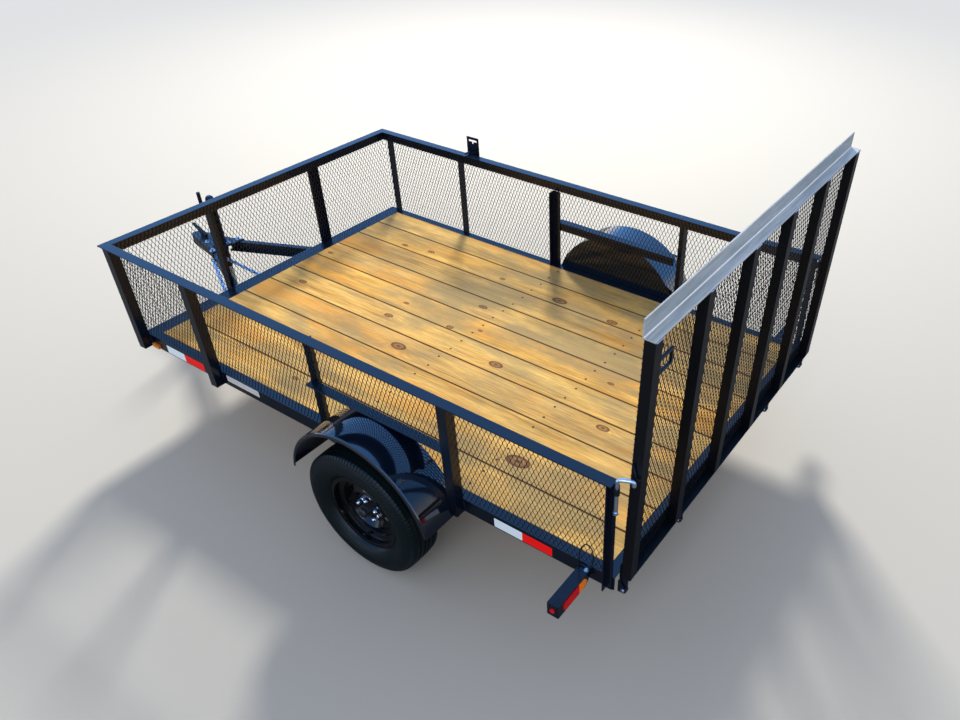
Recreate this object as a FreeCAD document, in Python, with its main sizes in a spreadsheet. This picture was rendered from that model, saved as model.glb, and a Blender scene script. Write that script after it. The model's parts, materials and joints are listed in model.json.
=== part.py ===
"""Single-axle utility trailer with expanded-metal sides and an upright rear ramp gate.

Millimetres. X runs forward to the coupler, Y to the left, Z up from the ground.
Heights are above the ground. Distances along X are given from the rear face of the frame,
and at() moves them to the model's origin, under the middle of the whole trailer.
"""
import FreeCAD, Part
import math
import os
import Sketcher
from FreeCAD import Placement, Rotation, Vector

SIZES = [
    # alias, value, what it measures
    ("deck_height", 557, "top of the boards above the ground"),
    ("frame_length", 3164, "rear face of the frame to its front face"),
    ("frame_width", 2006, "outer face to outer face of the side rails"),
    ("steel", 5, "wall of the rolled angles"),
    ("rail_depth", 76, "standing leg of the frame rails"),
    ("ledge", 51, "lying leg of the frame rails"),
    ("front_ledge", 96, "lying leg of the front rail"),
    ("board_count", 10, "boards in the floor"),
    ("board_thickness", 38, "thickness of a board"),
    ("board_gap", 6, "gap between boards"),
    ("board_end_gap", 1, "gap between the boards and the ledges round them"),
    ("member_width", 51, "lying leg of a cross member"),
    ("angle_leg", 51, "leg of the upper rails, posts and gate stiles"),
    ("top_rail_height", 552, "top of the upper rail above the boards"),
    ("top_rail_setback", 8, "rear end of the upper rail ahead of the frame's rear face"),
    ("corner_leg", 32, "leg of the rear corner posts"),
    ("post_middle_back", 480, "rear edge of the post behind the fender, behind the axle"),
    ("post_inner_ahead", 382, "rear edge of the post inside the mesh, ahead of the axle"),
    ("post_forward_back", 686, "rear edge of the post ahead of the fender, behind the frame's front face"),
    ("post_front_back", 44, "rear edge of the post at the front corner, behind the frame's front face"),
    ("post_drop", 76, "how far the side posts reach below the boards"),
    ("front_post_place", 385, "middle of a front post from the centre line"),
    ("guard_height", 291, "top of the fender guard rail above the boards"),
    ("guard_past_post", 28, "front end of the fender guard rail ahead of the inner post's rear edge"),
    ("mesh_thickness", 3, "thickness of the expanded metal"),
    ("diamond_width", 160, "short way of a diamond, middle to middle"),
    ("diamond_height", 320, "long way of a diamond, middle to middle"),
    ("strand", 12, "width of a strand"),
    ("wheel_back", 1888, "axle behind the frame's front face"),
    ("wheel_stand", 125, "middle of a tyre beyond the side rail"),
    ("tyre_radius", 344, "radius of the tyre"),
    ("tyre_width", 205, "width of the tyre's section"),
    ("tread_width", 160, "width of the tread"),
    ("shoulder_drop", 9, "edge of the tread below the crown"),
    ("shoulder_width", 15, "slope of the shoulder across the tyre"),
    ("belly_height", 10, "widest place of the tyre above the middle of its wall"),
    ("wall_turn", 0.55, "tyre's wall above its widest place: part of the way in to the tread"),
    ("wall_top", 0.7, "tyre's wall above its widest place: part of the way up to the tread"),
    ("bead_radius", 191, "radius of the tyre's bead"),
    ("rim_width", 127, "between the rim's flanges"),
    ("rim_lip_radius", 208, "radius of the rim's flanges"),
    ("rim_steel", 3, "wall of the rim's barrel"),
    ("bead_clearance", 0.5, "between the tyre's bead and the rim"),
    ("rim_well_radius", 166, "radius of the rim's well"),
    ("seat_inboard", 25, "bead seat at the rim's inboard side"),
    ("seat_outboard", 29, "bead seat at the rim's outboard side"),
    ("well_slope", 11, "each slope down to the rim's well, along the axle"),
    ("well_ease", 2, "slopes under the well drawn toward the seats"),
    ("disc_steel", 4, "wall of the wheel's disc"),
    ("disc_face", 8, "hub face outboard of the tyre's middle"),
    ("hub_bore_radius", 42, "radius of the wheel's centre hole"),
    ("bolt_circle", 114.3, "circle of the wheel studs"),
    ("stud_radius", 6.35, "radius of a wheel stud"),
    ("stud_clearance", 1.5, "between a wheel stud and its hole, on the radius"),
    ("nut_radius", 11, "a wheel nut's corner from its middle"),
    ("nut_length", 22, "length of a wheel nut"),
    ("disc_rise", 26, "crown of the wheel's disc outboard of its hub face"),
    ("disc_dish", 82, "radius where the disc leaves its hub face"),
    ("disc_crown_radius", 106, "radius of the disc's crown"),
    ("disc_foot_radius", 142, "radius where the disc meets its flange"),
    ("disc_flange_rise", 8, "flange of the disc outboard of its hub face"),
    ("cap_radius", 26, "radius of the hub's cap"),
    ("cap_reach", 74, "end of the hub's cap outboard of the tyre's middle"),
    ("cap_bevel", 8, "bevel round the end of the hub's cap"),
    ("hub_taper", 4, "nose of the hub smaller than its barrel, on the radius"),
    ("hub_bore_end", 34, "end of the hub's bore outboard of the tyre's middle"),
    ("spindle_end", 28, "end of the axle's spindle outboard of the tyre's middle"),
    ("hub_back", 58, "inner end of the hub inboard of the tyre's middle"),
    ("hub_nose", 48, "shoulder of the hub outboard of the tyre's middle"),
    ("hand_hole_radius", 15, "radius of a hand hole in the wheel's disc"),
    ("hand_hole_place", 124, "hand holes from the wheel's middle"),
    ("hub_flange_radius", 72, "radius of the hub's flange"),
    ("hub_flange", 10, "thickness of the hub's flange"),
    ("hub_barrel_radius", 38, "radius of the hub's barrel"),
    ("spindle_radius", 17, "radius of the axle's spindle"),
    ("spindle_clearance", 0.05, "between spindle and hub, on the radius"),
    ("axle_radius", 30, "radius of the axle beam"),
    ("spring_width", 45, "width of a leaf"),
    ("leaf", 7, "thickness of a leaf"),
    ("leaf_count", 4, "leaves in a spring"),
    ("spring_length", 640, "between the eyes of a spring"),
    ("spring_camber", 40, "rise of the eyes above the middle of the spring"),
    ("spring_eye_radius", 17, "outer radius of a spring eye"),
    ("spring_bolt_radius", 8, "radius of a spring bolt"),
    ("spring_clearance", 0.3, "round a spring bolt and beside an eye"),
    ("leaf_step", 0.21, "each lower leaf shorter by this part of the longest"),
    ("spring_seat", 6, "block between the axle and its spring"),
    ("spring_seat_length", 80, "length of the block between the axle and its spring"),
    ("spring_seat_bite", 2, "top of the block above the foot of the lowest leaf"),
    ("spring_plate_overhang", 30, "plate over the spring wider than the spring"),
    ("spring_plate", 8, "thickness of the plate over the spring"),
    ("spring_plate_length", 110, "length of the plate over the spring"),
    ("hanger_drop", 20, "spring hanger below the spring bolt"),
    ("hanger_width", 60, "length of a spring hanger along the rail"),
    ("fender_radius", 436, "outer radius of the fender"),
    ("fender_centre_height", 404, "middle of the fender's arc above the ground"),
    ("fender_back", 31, "middle of the fender's arc behind the axle"),
    ("fender_end_rise", 10.5, "both ends of the fender above its middle, in degrees"),
    ("fender_reach", 231, "outer lip of the fender beyond the side rail"),
    ("fender_steel", 2, "wall of the fender"),
    ("fender_lip", 18, "depth of the fender's turned lip"),
    ("fender_bend", 8, "bend into the lip, across and down"),
    ("lamp_place", 113, "rear face of the lamp box ahead of the frame's rear face"),
    ("lamp_length", 237, "how far the lamp box reaches beyond the side rail"),
    ("lamp_depth", 55, "lamp box along the trailer"),
    ("lamp_height", 70, "height of the lamp box"),
    ("lamp_drop", 20, "top of the lamp box below the boards"),
    ("lamp_wall", 3, "wall of the lamp box"),
    ("lens_length", 165, "length of the rear lens"),
    ("lens_height", 48, "height of the rear lens"),
    ("lens_stand", 4, "how far the lens stands out of its box"),
    ("lens_depth", 10, "how far the lens reaches into its box"),
    ("lamp_corner", 40, "cut of the lamp box's lower inner corner"),
    ("side_lamp_radius", 11, "radius of the small lamp on the box's end"),
    ("side_lamp_stand", 5, "how far the small lamp stands out of the box's end"),
    ("marker_back", 75, "marker lamp behind the front corner post"),
    ("marker_length", 55, "length of the marker lamp"),
    ("marker_height", 22, "height of the marker lamp"),
    ("marker_depth", 14, "how far the marker lamp stands out"),
    ("tongue_angle", 23.5, "each tongue member from the centre line, in degrees"),
    ("tongue_ahead", 686, "front end of the tongue members ahead of the frame's front face"),
    ("tongue_tip_half", 84, "outer face of a tongue member at its tip from the centre line"),
    ("tongue_flange", 36, "flange of the tongue channels"),
    ("tongue_length", 1560, "length of a tongue member"),
    ("coupler_length", 328, "rear end of the coupler behind the hitch ball"),
    ("ball_ahead", 924, "middle of the hitch ball ahead of the frame's front face"),
    ("ball_height", 440, "middle of the hitch ball above the ground"),
    ("ball_bore", 25.9, "radius of the coupler's socket"),
    ("nose_radius", 41, "radius of the coupler's nose"),
    ("coupler_plate", 6, "wall of the coupler"),
    ("coupler_depth", 66, "depth of the coupler"),
    ("latch_back", 100, "rear end of the coupler's latch behind the ball"),
    ("latch_front", 45, "front end of the latch's base behind the ball"),
    ("latch_rise", 20, "height of the latch's base"),
    ("lever_reach", 23, "tip of the latch's lever ahead of the ball"),
    ("lever_rise", 78, "tip of the latch's lever above the coupler"),
    ("lever_thickness", 9, "thickness of the latch's lever"),
    ("lever_width", 18, "width of the latch's lever"),
    ("jack_ahead", 655, "middle of the jack ahead of the frame's front face"),
    ("jack_radius", 28.5, "outer radius of the jack's tube"),
    ("jack_wall", 3, "wall of the jack's tube"),
    ("jack_leg_clearance", 0.3, "between the jack's leg and its tube"),
    ("jack_hole_clearance", 0.5, "between the jack's tube and the coupler, on the radius"),
    ("jack_top", 812, "top of the jack's tube above the ground"),
    ("jack_cap", 28, "height of the cap on the jack's tube"),
    ("jack_flange", 8, "thickness of the jack's flange"),
    ("crank_height", 790, "jack's crank shaft above the ground"),
    ("crank_radius", 8, "radius of the jack's crank shaft"),
    ("grip_radius", 12, "radius of the crank's grip"),
    ("jack_bottom", 320, "bottom of the jack's tube above the ground"),
    ("jack_leg_top", 500, "top of the jack's leg above the ground"),
    ("foot_radius", 62, "radius of the jack's foot"),
    ("foot_plate", 5, "thickness of the jack's foot"),
    ("foot_boss", 12, "boss on the jack's foot beyond the leg"),
    ("foot_boss_height", 18, "top of the boss on the jack's foot"),
    ("crank_reach", 68, "jack's crank grip from the jack's middle"),
    ("grip_top", 889, "top of the crank's grip above the ground"),
    ("gate_lean", 1.4, "how far the upright gate leans back, in degrees"),
    ("gate_side_gap", 26, "the gate's edge inboard of the side rail's outer face"),
    ("gate_height", 1256, "bottom to top of the gate"),
    ("gate_bottom", 551, "bottom of the gate above the ground"),
    ("gate_gap", 6, "between the frame's rear face and the gate"),
    ("gate_leg", 76, "standing leg of the gate's top and bottom angles"),
    ("stile_count", 6, "stiles in the gate"),
    ("hinge_height", 462, "gate hinge above the ground"),
    ("hinge_setback", 24, "gate hinge behind the frame's rear face"),
    ("hinge_pin_radius", 6, "radius of a gate hinge pin"),
    ("hinge_clearance", 0.1, "between a hinge pin and the gate's tab, on the radius"),
    ("hinge_tab", 10, "thickness of the gate's hinge tab"),
    ("hinge_ear", 6, "thickness of an ear on the frame"),
    ("hinge_end_radius", 15, "round end of the ears and tabs"),
    ("hinge_inset", 17, "outer hinges inboard of the gate's edges"),
    ("hinge_play", 1, "between a hinge tab and the ears beside it"),
    ("hinge_ear_rise", 50, "top of an ear above its pin"),
    ("hinge_ear_seat", 12, "top of an ear along the frame"),
    ("pin_head", 4, "hinge pin beyond its ears"),
    ("handle_top", 1638, "upper leg of the gate's handle above the ground"),
    ("handle_height", 58, "upper leg to lower leg of the gate's handle"),
    ("handle_reach", 90, "gate's handle from its stile"),
    ("keeper_rise", 4, "foot of a latch keeper above the middle of the latch rod's arm"),
    ("keeper_height", 63, "height of a latch keeper"),
    ("keeper_ahead", 14, "foot of a latch keeper ahead of the gate's rear edge"),
    ("keeper_slant", 18, "top of a latch keeper ahead of its foot"),
    ("keeper_reach", 8, "latch keeper out of the gate's edge"),
    ("keeper_steel", 4, "thickness of a latch keeper"),
    ("spare_back", 738, "middle of the spare wheel plate behind the frame's front face"),
    ("spare_stand", 92, "spare wheel plate beyond the side rail"),
    ("spare_width", 96, "width of the spare wheel plate"),
    ("spare_plate", 6, "thickness of the spare wheel plate"),
    ("spare_arm", 38, "side of the spare wheel's arm"),
    ("spare_slot", 14, "height of the slot in the spare wheel plate"),
    ("spare_slot_drop", 30, "slot below the top of the spare wheel plate"),
    ("spare_stud_drop", 84, "stud below the top of the spare wheel plate"),
    ("spare_top", 647, "top of the spare wheel plate above the boards"),
    ("spare_height", 152, "height of the spare wheel plate"),
    ("spare_stud_radius", 6.35, "radius of the spare wheel stud"),
    ("spare_stud_length", 80, "spare wheel stud out of its plate"),
    ("latch_rod_radius", 8, "radius of a gate latch rod"),
    ("latch_clearance", 0.3, "between a latch rod and its sleeve, on the radius"),
    ("latch_inset", 22, "latch rod outboard of the side rail's outer face"),
    ("latch_back_gap", 2, "latch rod behind the upper rail's rear end"),
    ("sleeve_wall", 4, "wall of the latch rod's sleeve"),
    ("sleeve_length", 32, "length of the latch rod's sleeve"),
    ("sleeve_rise", 35, "top of the sleeve above the foot of the upper rail's standing leg"),
    ("latch_length", 178, "lower end of the latch rod below its arm"),
    ("latch_arm_rise", 22, "the latch rod's arm above the upper rail"),
    ("latch_arm_reach", 62, "length of the latch rod's arm"),
    ("latch_arm_turn", 24, "latch rod's arm turned inward, in degrees"),
    ("latch_tip", 10, "latch rod's tip down from its bend"),
    ("latch_bend", 14, "radius of the bends in the latch rod"),
    ("latch_flare", 2.5, "foot of the latch rod beyond the rod, on the radius"),
    ("latch_flare_height", 12, "height of the latch rod's foot"),
    ("handle_rod_radius", 5, "radius of the handle's rod"),
    ("chain_wire", 7, "wire of a safety chain"),
    ("chain_inner", 31, "inner length of a chain link"),
    ("chain_width", 24, "width of a chain link"),
    ("chain_play", 0.3, "between one chain link and the next"),
    ("chain_height", 448, "left safety chain above the ground beside the tongue"),
    ("chain_start", 98, "front end of the left safety chain behind the tongue's tip"),
    ("chain_turn", 27.8, "left safety chain turned outward, in degrees"),
    ("chain_under", 14, "rear end of both safety chains behind the frame's front face"),
    ("chain_drop", 50, "front end of the right safety chain below the side rails' foot"),
    ("chain_right_end", 128, "rear end of the right safety chain left of the centre line"),
]

doc = FreeCAD.newDocument("utility_trailer")
sheet = doc.addObject("Spreadsheet::Sheet", "Sizes")
for row, (alias, value, meaning) in enumerate(SIZES, start=1):
    sheet.set(f"A{row}", alias)
    sheet.set(f"B{row}", str(value))
    sheet.set(f"C{row}", meaning)
    sheet.setAlias(f"B{row}", alias)
doc.recompute()


class Size:
    """A number that remembers, as an expression, how it comes from the sheet."""

    def __init__(self, value, text):
        self.value = float(value)
        self.text = text

    def __float__(self):
        return self.value

    def __add__(self, other):
        return Size(self.value + float(other), f"({self.text} + {text_of(other)})")

    def __radd__(self, other):
        return Size(float(other) + self.value, f"({text_of(other)} + {self.text})")

    def __sub__(self, other):
        return Size(self.value - float(other), f"({self.text} - {text_of(other)})")

    def __rsub__(self, other):
        return Size(float(other) - self.value, f"({text_of(other)} - {self.text})")

    def __mul__(self, other):
        return Size(self.value * float(other), f"({self.text} * {text_of(other)})")

    def __rmul__(self, other):
        return self * other

    def __truediv__(self, other):
        return Size(self.value / float(other), f"({self.text} / {text_of(other)})")

    def __neg__(self):
        return Size(-self.value, f"(0 - {self.text})")


def text_of(number):
    return number.text if isinstance(number, Size) else repr(float(number))


class Sheet:
    """Reads a size from the sheet by its alias."""

    def __getattr__(self, alias):
        return Size(sheet.get(alias), "Sizes." + alias)


s = Sheet()
SIDES = [("left", 1), ("right", -1)]
STUDS = 5
HAND_HOLES = 8
BEND_RUNS = 3  # straight runs in a bend of a rod
BEND_CUT = 0.3  # a bend in two flats: its middle corner, as a part of the bend from its ends
NOTCH_PLAY = 1  # round a post that passes through a fender
AXLE_GAP = 5  # between the axle's full section and a hub

half_width = s.frame_width / 2
rail_bottom = s.deck_height - s.rail_depth
rail_top = s.deck_height + s.top_rail_height
rail_inner = half_width
rail_outer = half_width + s.angle_leg
wheel_y = half_width + s.wheel_stand
mesh_inner = half_width - s.mesh_thickness
wheel_place = s.frame_length - s.wheel_back
post_middle = wheel_place - s.post_middle_back
post_inner = wheel_place + s.post_inner_ahead
post_forward = s.frame_length - s.post_forward_back
post_front = s.frame_length - s.post_front_back
ball_place = s.frame_length + s.ball_ahead
jack_place = s.frame_length + s.jack_ahead
gate_half = half_width - s.gate_side_gap

# The trailer's reach behind and ahead of the frame's rear face puts the origin under its middle.
lean = math.radians(float(s.gate_lean))
top_leg_rise = float(s.gate_bottom + s.gate_height - s.gate_leg - s.hinge_height)
gate_arm = float(s.gate_gap + s.angle_leg - s.hinge_setback)
rear_reach = float(s.hinge_setback) + gate_arm * math.cos(lean) + (
    top_leg_rise + float(s.steel)) * math.sin(lean)
front_reach = float(ball_place + s.nose_radius)
middle = (front_reach - rear_reach) / 2


def at(along, across, up):
    """A point given from the frame's rear face, the centre line and the ground."""
    return Vector(float(along) - middle, float(across), float(up))


def standing(along=0, across=0, up=0, turn=0):
    """A placement on the trailer, turned about the vertical."""
    return Placement(at(along, across, up), Rotation(Vector(0, 0, 1), turn))


hinge = Placement(at(-s.hinge_setback, 0, s.hinge_height), Rotation(Vector(0, -1, 0), float(s.gate_lean)))


def on_gate(along=0, across=0, up=0):
    """A placement on the leaning gate, measured from its hinge line."""
    return hinge.multiply(Placement(Vector(float(along), float(across), float(up)), Rotation()))


def body(label, placement):
    """An empty body with its label and its place."""
    made = doc.addObject("PartDesign::Body", label)
    made.Label = label
    made.Placement = placement
    return made


def plane(owner, role):
    return [item for item in owner.Origin.OriginFeatures if item.Role == role][0]


def sketch_on(owner, role, height=0):
    """A sketch on one of a body's origin planes, or lifted off it."""
    sketch = owner.newObject("Sketcher::SketchObject", "Outline")
    sketch.AttachmentSupport = (plane(owner, role), "")
    sketch.MapMode = "FlatFace"
    if float(height):
        sketch.AttachmentOffset = Placement(Vector(0, 0, float(height)), Rotation())
        sketch.setExpression("AttachmentOffset.Base.z", text_of(height))
    return sketch


def bind(sketch, kind, first, number, *others):
    """Adds a constraint and ties it to the sheet."""
    index = sketch.addConstraint(Sketcher.Constraint(kind, *first, *others, float(number)))
    if isinstance(number, Size):
        sketch.setExpression(f"Constraints[{index}]", number.text)


def pin_point(sketch, edge, end, across, up):
    """Holds a point at its two distances from the sketch's origin."""
    for kind, axis, number in (("DistanceX", -2, across), ("DistanceY", -1, up)):
        if float(number) == 0 and not isinstance(number, Size):
            sketch.addConstraint(Sketcher.Constraint("PointOnObject", edge, end, axis))
        else:
            bind(sketch, kind, (-1, 1, edge, end), number)


def arc_between(start, end, bend):
    """An arc from start to end; a positive bend turns left on the way, a negative one right."""
    radius = abs(bend)
    chord = end.sub(start)
    rise = math.sqrt(max(radius ** 2 - (chord.Length / 2) ** 2, 0))
    side = Vector(-chord.y, chord.x, 0).normalize()
    if bend < 0:
        side = side.negative()
    centre = start.add(end).multiply(0.5).add(side.multiply(rise))
    first, last = (start, end) if bend > 0 else (end, start)
    begin = math.atan2(first.y - centre.y, first.x - centre.x)
    finish = math.atan2(last.y - centre.y, last.x - centre.x)
    if finish <= begin:
        finish += 2 * math.pi
    return Part.ArcOfCircle(Part.Circle(centre, Vector(0, 0, 1), radius), begin, finish)


def outline(owner, role, corners, height=0):
    """A closed outline. A corner is (across, up), or (across, up, bend) where an arc leaves it."""
    sketch = sketch_on(owner, role, height)
    ends = []
    count = len(corners)
    for number, corner in enumerate(corners):
        following = corners[(number + 1) % count]
        start = Vector(float(corner[0]), float(corner[1]), 0)
        end = Vector(float(following[0]), float(following[1]), 0)
        if len(corner) == 3:
            edge = sketch.addGeometry(arc_between(start, end, float(corner[2])))
            ends.append((edge, 1, 2) if float(corner[2]) > 0 else (edge, 2, 1))
        else:
            edge = sketch.addGeometry(Part.LineSegment(start, end))
            ends.append((edge, 1, 2))
    for number in range(count):
        edge, begin, finish = ends[number]
        following = ends[(number + 1) % count]
        sketch.addConstraint(Sketcher.Constraint("Coincident", edge, finish, following[0], following[1]))
    for number, corner in enumerate(corners):
        edge, begin, finish = ends[number]
        pin_point(sketch, edge, begin, corner[0], corner[1])
        if len(corner) == 3:
            bend = corner[2] if float(corner[2]) > 0 else -corner[2]
            bind(sketch, "Radius", (edge,), bend)
    return sketch


def circles(owner, role, centres, radius, height=0):
    """Circles of one radius in one sketch."""
    sketch = sketch_on(owner, role, height)
    for across, up in centres:
        place = Vector(float(across), float(up), 0)
        edge = sketch.addGeometry(Part.Circle(place, Vector(0, 0, 1), float(radius)))
        pin_point(sketch, edge, 3, across, up)
        bind(sketch, "Radius", (edge,), radius)
    return sketch


def pad(owner, sketch, length, reversed_way=False, both_ways=False):
    feature = owner.newObject("PartDesign::Pad", "Pad")
    feature.Profile = sketch
    feature.Length = float(length)
    if isinstance(length, Size):
        feature.setExpression("Length", length.text)
    feature.Reversed = reversed_way
    if both_ways:
        feature.SideType = "Symmetric"
    sketch.Visibility = False
    return feature


def pocket(owner, sketch, length=None, reversed_way=False, both_ways=False):
    """Cuts a sketch's outline to a depth, or right through both ways."""
    feature = owner.newObject("PartDesign::Pocket", "Pocket")
    feature.Profile = sketch
    if length is None:
        feature.Type = "ThroughAll"
        feature.SideType = "Symmetric"
    else:
        feature.Length = float(length)
        if isinstance(length, Size):
            feature.setExpression("Length", length.text)
        feature.Reversed = reversed_way
        if both_ways:
            feature.SideType = "Symmetric"
    return feature


def revolve(owner, sketch, axis="H_Axis", angle=360, both_ways=False):
    feature = owner.newObject("PartDesign::Revolution", "Revolution")
    feature.Profile = sketch
    feature.ReferenceAxis = (sketch, [axis])
    feature.Angle = angle
    if both_ways:
        feature.Midplane = True
    return feature


def ring_of(owner, feature, count):
    """Repeats a feature round the body's Y axis."""
    pattern = owner.newObject("PartDesign::PolarPattern", "PolarPattern")
    pattern.Originals = [feature]
    pattern.Axis = (feature.Profile[0], ["N_Axis"])
    pattern.Angle = 360
    pattern.Occurrences = count
    owner.Tip = pattern
    return pattern


def angle_bar(label, placement, role, legs, length, reversed_way=False):
    """A rolled angle. legs gives its heel and the signed reach of each leg in the sketch's plane."""
    heel_across, heel_up, reach_across, reach_up = legs
    wall_across = s.steel if float(reach_across) > 0 else -s.steel
    wall_up = s.steel if float(reach_up) > 0 else -s.steel
    corners = [
        (heel_across, heel_up),
        (heel_across + reach_across, heel_up),
        (heel_across + reach_across, heel_up + wall_up),
        (heel_across + wall_across, heel_up + wall_up),
        (heel_across + wall_across, heel_up + reach_up),
        (heel_across, heel_up + reach_up),
    ]
    made = body(label, placement)
    pad(made, outline(made, role, corners), length, reversed_way)
    return made


def rectangle(low_across, high_across, low_up, high_up):
    return [(low_across, low_up), (high_across, low_up), (high_across, high_up), (low_across, high_up)]


def group(label, members):
    """Separate solids kept in one node."""
    made = doc.addObject("Part::Compound", label)
    made.Label = label
    made.Links = members
    for member in members:
        member.Visibility = False
    return made


nodes = []


def keep(made):
    nodes.append(made)
    return made


def frame():
    """Side rails, front rail, rear sill and cross members: the deck's carrying frame."""
    for side, way in SIDES:
        keep(angle_bar(f"side_rail_{side}", standing(), "YZ_Plane",
                       (half_width * way, s.deck_height, s.ledge * -way, -s.rail_depth), s.frame_length))
    inner_width = s.frame_width - s.ledge * 2
    front = body("front_rail", standing(s.frame_length, half_width - s.ledge))
    pad(front, outline(front, "XZ_Plane", [
        (0, s.deck_height),
        (0, rail_bottom),
        (-s.steel, rail_bottom),
        (-s.steel, s.deck_height - s.steel),
        (-s.front_ledge, s.deck_height - s.steel),
        (-s.front_ledge, s.deck_height),
    ]), inner_width)
    keep(front)
    keep(angle_bar("rear_sill", standing(0, half_width - s.ledge), "XZ_Plane",
                   (0, s.deck_height, s.ledge, -s.rail_depth), inner_width))
    member_top = s.deck_height - s.board_thickness
    member_depth = s.rail_depth - s.board_thickness
    first = s.ledge + s.board_end_gap
    last = s.frame_length - s.front_ledge - s.board_end_gap - s.member_width
    bays = 4
    members = []
    for number in range(bays + 1):
        place = float(first) + (float(last) - float(first)) * number / bays
        members.append(angle_bar(f"cross_member_{number + 1}", standing(place, half_width - s.steel),
                                 "XZ_Plane", (0, member_top, s.member_width, -member_depth),
                                 s.frame_width - s.steel * 2))
    keep(group("cross_members", members))


def floor():
    """Lengthwise boards, level with the ledges."""
    start = s.ledge + s.board_end_gap
    length = s.frame_length - s.ledge - s.front_ledge - s.board_end_gap * 2
    room = s.frame_width - (s.ledge + s.board_end_gap) * 2
    count = int(float(s.board_count))
    width = (room + s.board_gap) / s.board_count - s.board_gap
    boards = []
    for number in range(count):
        right = -room / 2 + (width + s.board_gap) * number
        board = body(f"board_{number + 1}", standing(start))
        pad(board, outline(board, "YZ_Plane", rectangle(
            right, right + width, s.deck_height - s.board_thickness, s.deck_height)), length)
        boards.append(board)
    keep(group("floor_boards", boards))


def upper_rails():
    """Mitred upper rail: the lying leg on top, the standing leg at the inner edge."""
    length = s.frame_length - s.top_rail_setback
    for side, way in SIDES:
        rail = angle_bar(f"top_rail_{side}", standing(s.top_rail_setback), "YZ_Plane",
                         (rail_inner * way, rail_top, s.angle_leg * way, -s.angle_leg), length + s.angle_leg)
        pocket(rail, outline(rail, "XY_Plane", [
            (length, rail_inner * way),
            (length + s.angle_leg, rail_outer * way),
            (length + s.angle_leg, rail_inner * way),
        ]))
        keep(rail)
    front = angle_bar("top_rail_front", standing(s.frame_length, rail_outer), "XZ_Plane",
                      (0, rail_top, s.angle_leg, -s.angle_leg), rail_outer * 2)
    pocket(front, outline(front, "XY_Plane", [(0, 0), (0, -s.angle_leg), (s.angle_leg, 0)]))
    pocket(front, outline(front, "XY_Plane", [
        (0, -rail_outer * 2),
        (s.angle_leg, -rail_outer * 2),
        (0, s.angle_leg - rail_outer * 2),
    ]))
    keep(front)


def post(label, corner, reach, foot, head, turn=0, notched=True):
    """An upright angle. Its heel stands at corner; reach signs both legs. A notch clears the upper rail."""
    place = standing(corner[0], corner[1], foot, turn)
    made = angle_bar(label, place, "XY_Plane", (0, 0, *reach), head - foot)
    if notched:
        start = reach[1] - s.steel if float(reach[1]) > 0 else reach[1] + s.steel
        base = head - foot
        notch = rectangle(start, reach[1], base - s.angle_leg + s.steel, base)
        pocket(made, outline(made, "YZ_Plane", notch))
    return made


def corner_post(side, way, foot, head):
    """A small angle at a rear corner, its heel forward, with a lug and the sleeve of the gate's latch rod."""
    leg = s.corner_leg
    length = head - foot
    made = angle_bar(f"post_corner_{side}", standing(s.top_rail_setback + leg, half_width * way, foot),
                     "XY_Plane", (0, 0, -leg, leg * way), length)
    pocket(made, outline(made, "YZ_Plane", rectangle(
        0, s.steel * way, length - s.angle_leg + s.steel, length)))
    back = -leg - s.latch_rod_radius - s.latch_back_gap
    sleeve_foot = length - s.angle_leg - s.sleeve_length + s.sleeve_rise
    lug = rectangle(back, -leg, 0, s.latch_inset * way)
    pad(made, outline(made, "XY_Plane", lug, sleeve_foot), s.sleeve_length)
    seat = [(back, s.latch_inset * way)]
    sleeve_radius = s.latch_rod_radius + s.sleeve_wall
    pad(made, circles(made, "XY_Plane", seat, sleeve_radius, sleeve_foot), s.sleeve_length)
    pocket(made, circles(made, "XY_Plane", seat, s.latch_rod_radius + s.latch_clearance))
    return made


def posts():
    """Five posts a side and two in front. One of each side stands inside the mesh, the others outside."""
    foot = s.deck_height - s.post_drop
    head = rail_top - s.steel
    leg = s.angle_leg
    side_posts = [
        # name, rear edge ahead of the frame's rear face
        ("middle", post_middle),
        ("forward", post_forward),
        ("front", post_front),
    ]
    for side, way in SIDES:
        made = []
        for name, place in side_posts:
            made.append(post(f"post_{name}_{side}", (place, rail_outer * way), (leg, -leg * way), foot, head))
        inner = angle_bar(f"post_inner_{side}", standing(post_inner + leg, mesh_inner * way, s.deck_height),
                          "XY_Plane", (0, 0, -leg, -leg * way), s.top_rail_height - leg)
        made.append(inner)
        made.append(corner_post(side, way, foot, head))
        keep(group(f"posts_{side}", made))
    made = []
    for side, way in SIDES:
        place = (s.front_post_place + leg / 2) * way
        upright = angle_bar(f"post_front_{side}_middle", standing(s.frame_length + leg, place, foot),
                            "XY_Plane", (0, 0, -leg, -leg * way), head - foot)
        pocket(upright, outline(upright, "XZ_Plane", rectangle(
            -leg, s.steel - leg, head - foot - leg + s.steel, head - foot)))
        made.append(upright)
    keep(group("posts_front", made))


def guard_rails():
    """A rail over each fender, like the upper rail."""
    start = post_middle + s.angle_leg
    for side, way in SIDES:
        keep(angle_bar(f"guard_rail_{side}", standing(start), "YZ_Plane",
                       (rail_inner * way, s.deck_height + s.guard_height, s.angle_leg * way, -s.angle_leg),
                       post_inner + s.guard_past_post - start))


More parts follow.
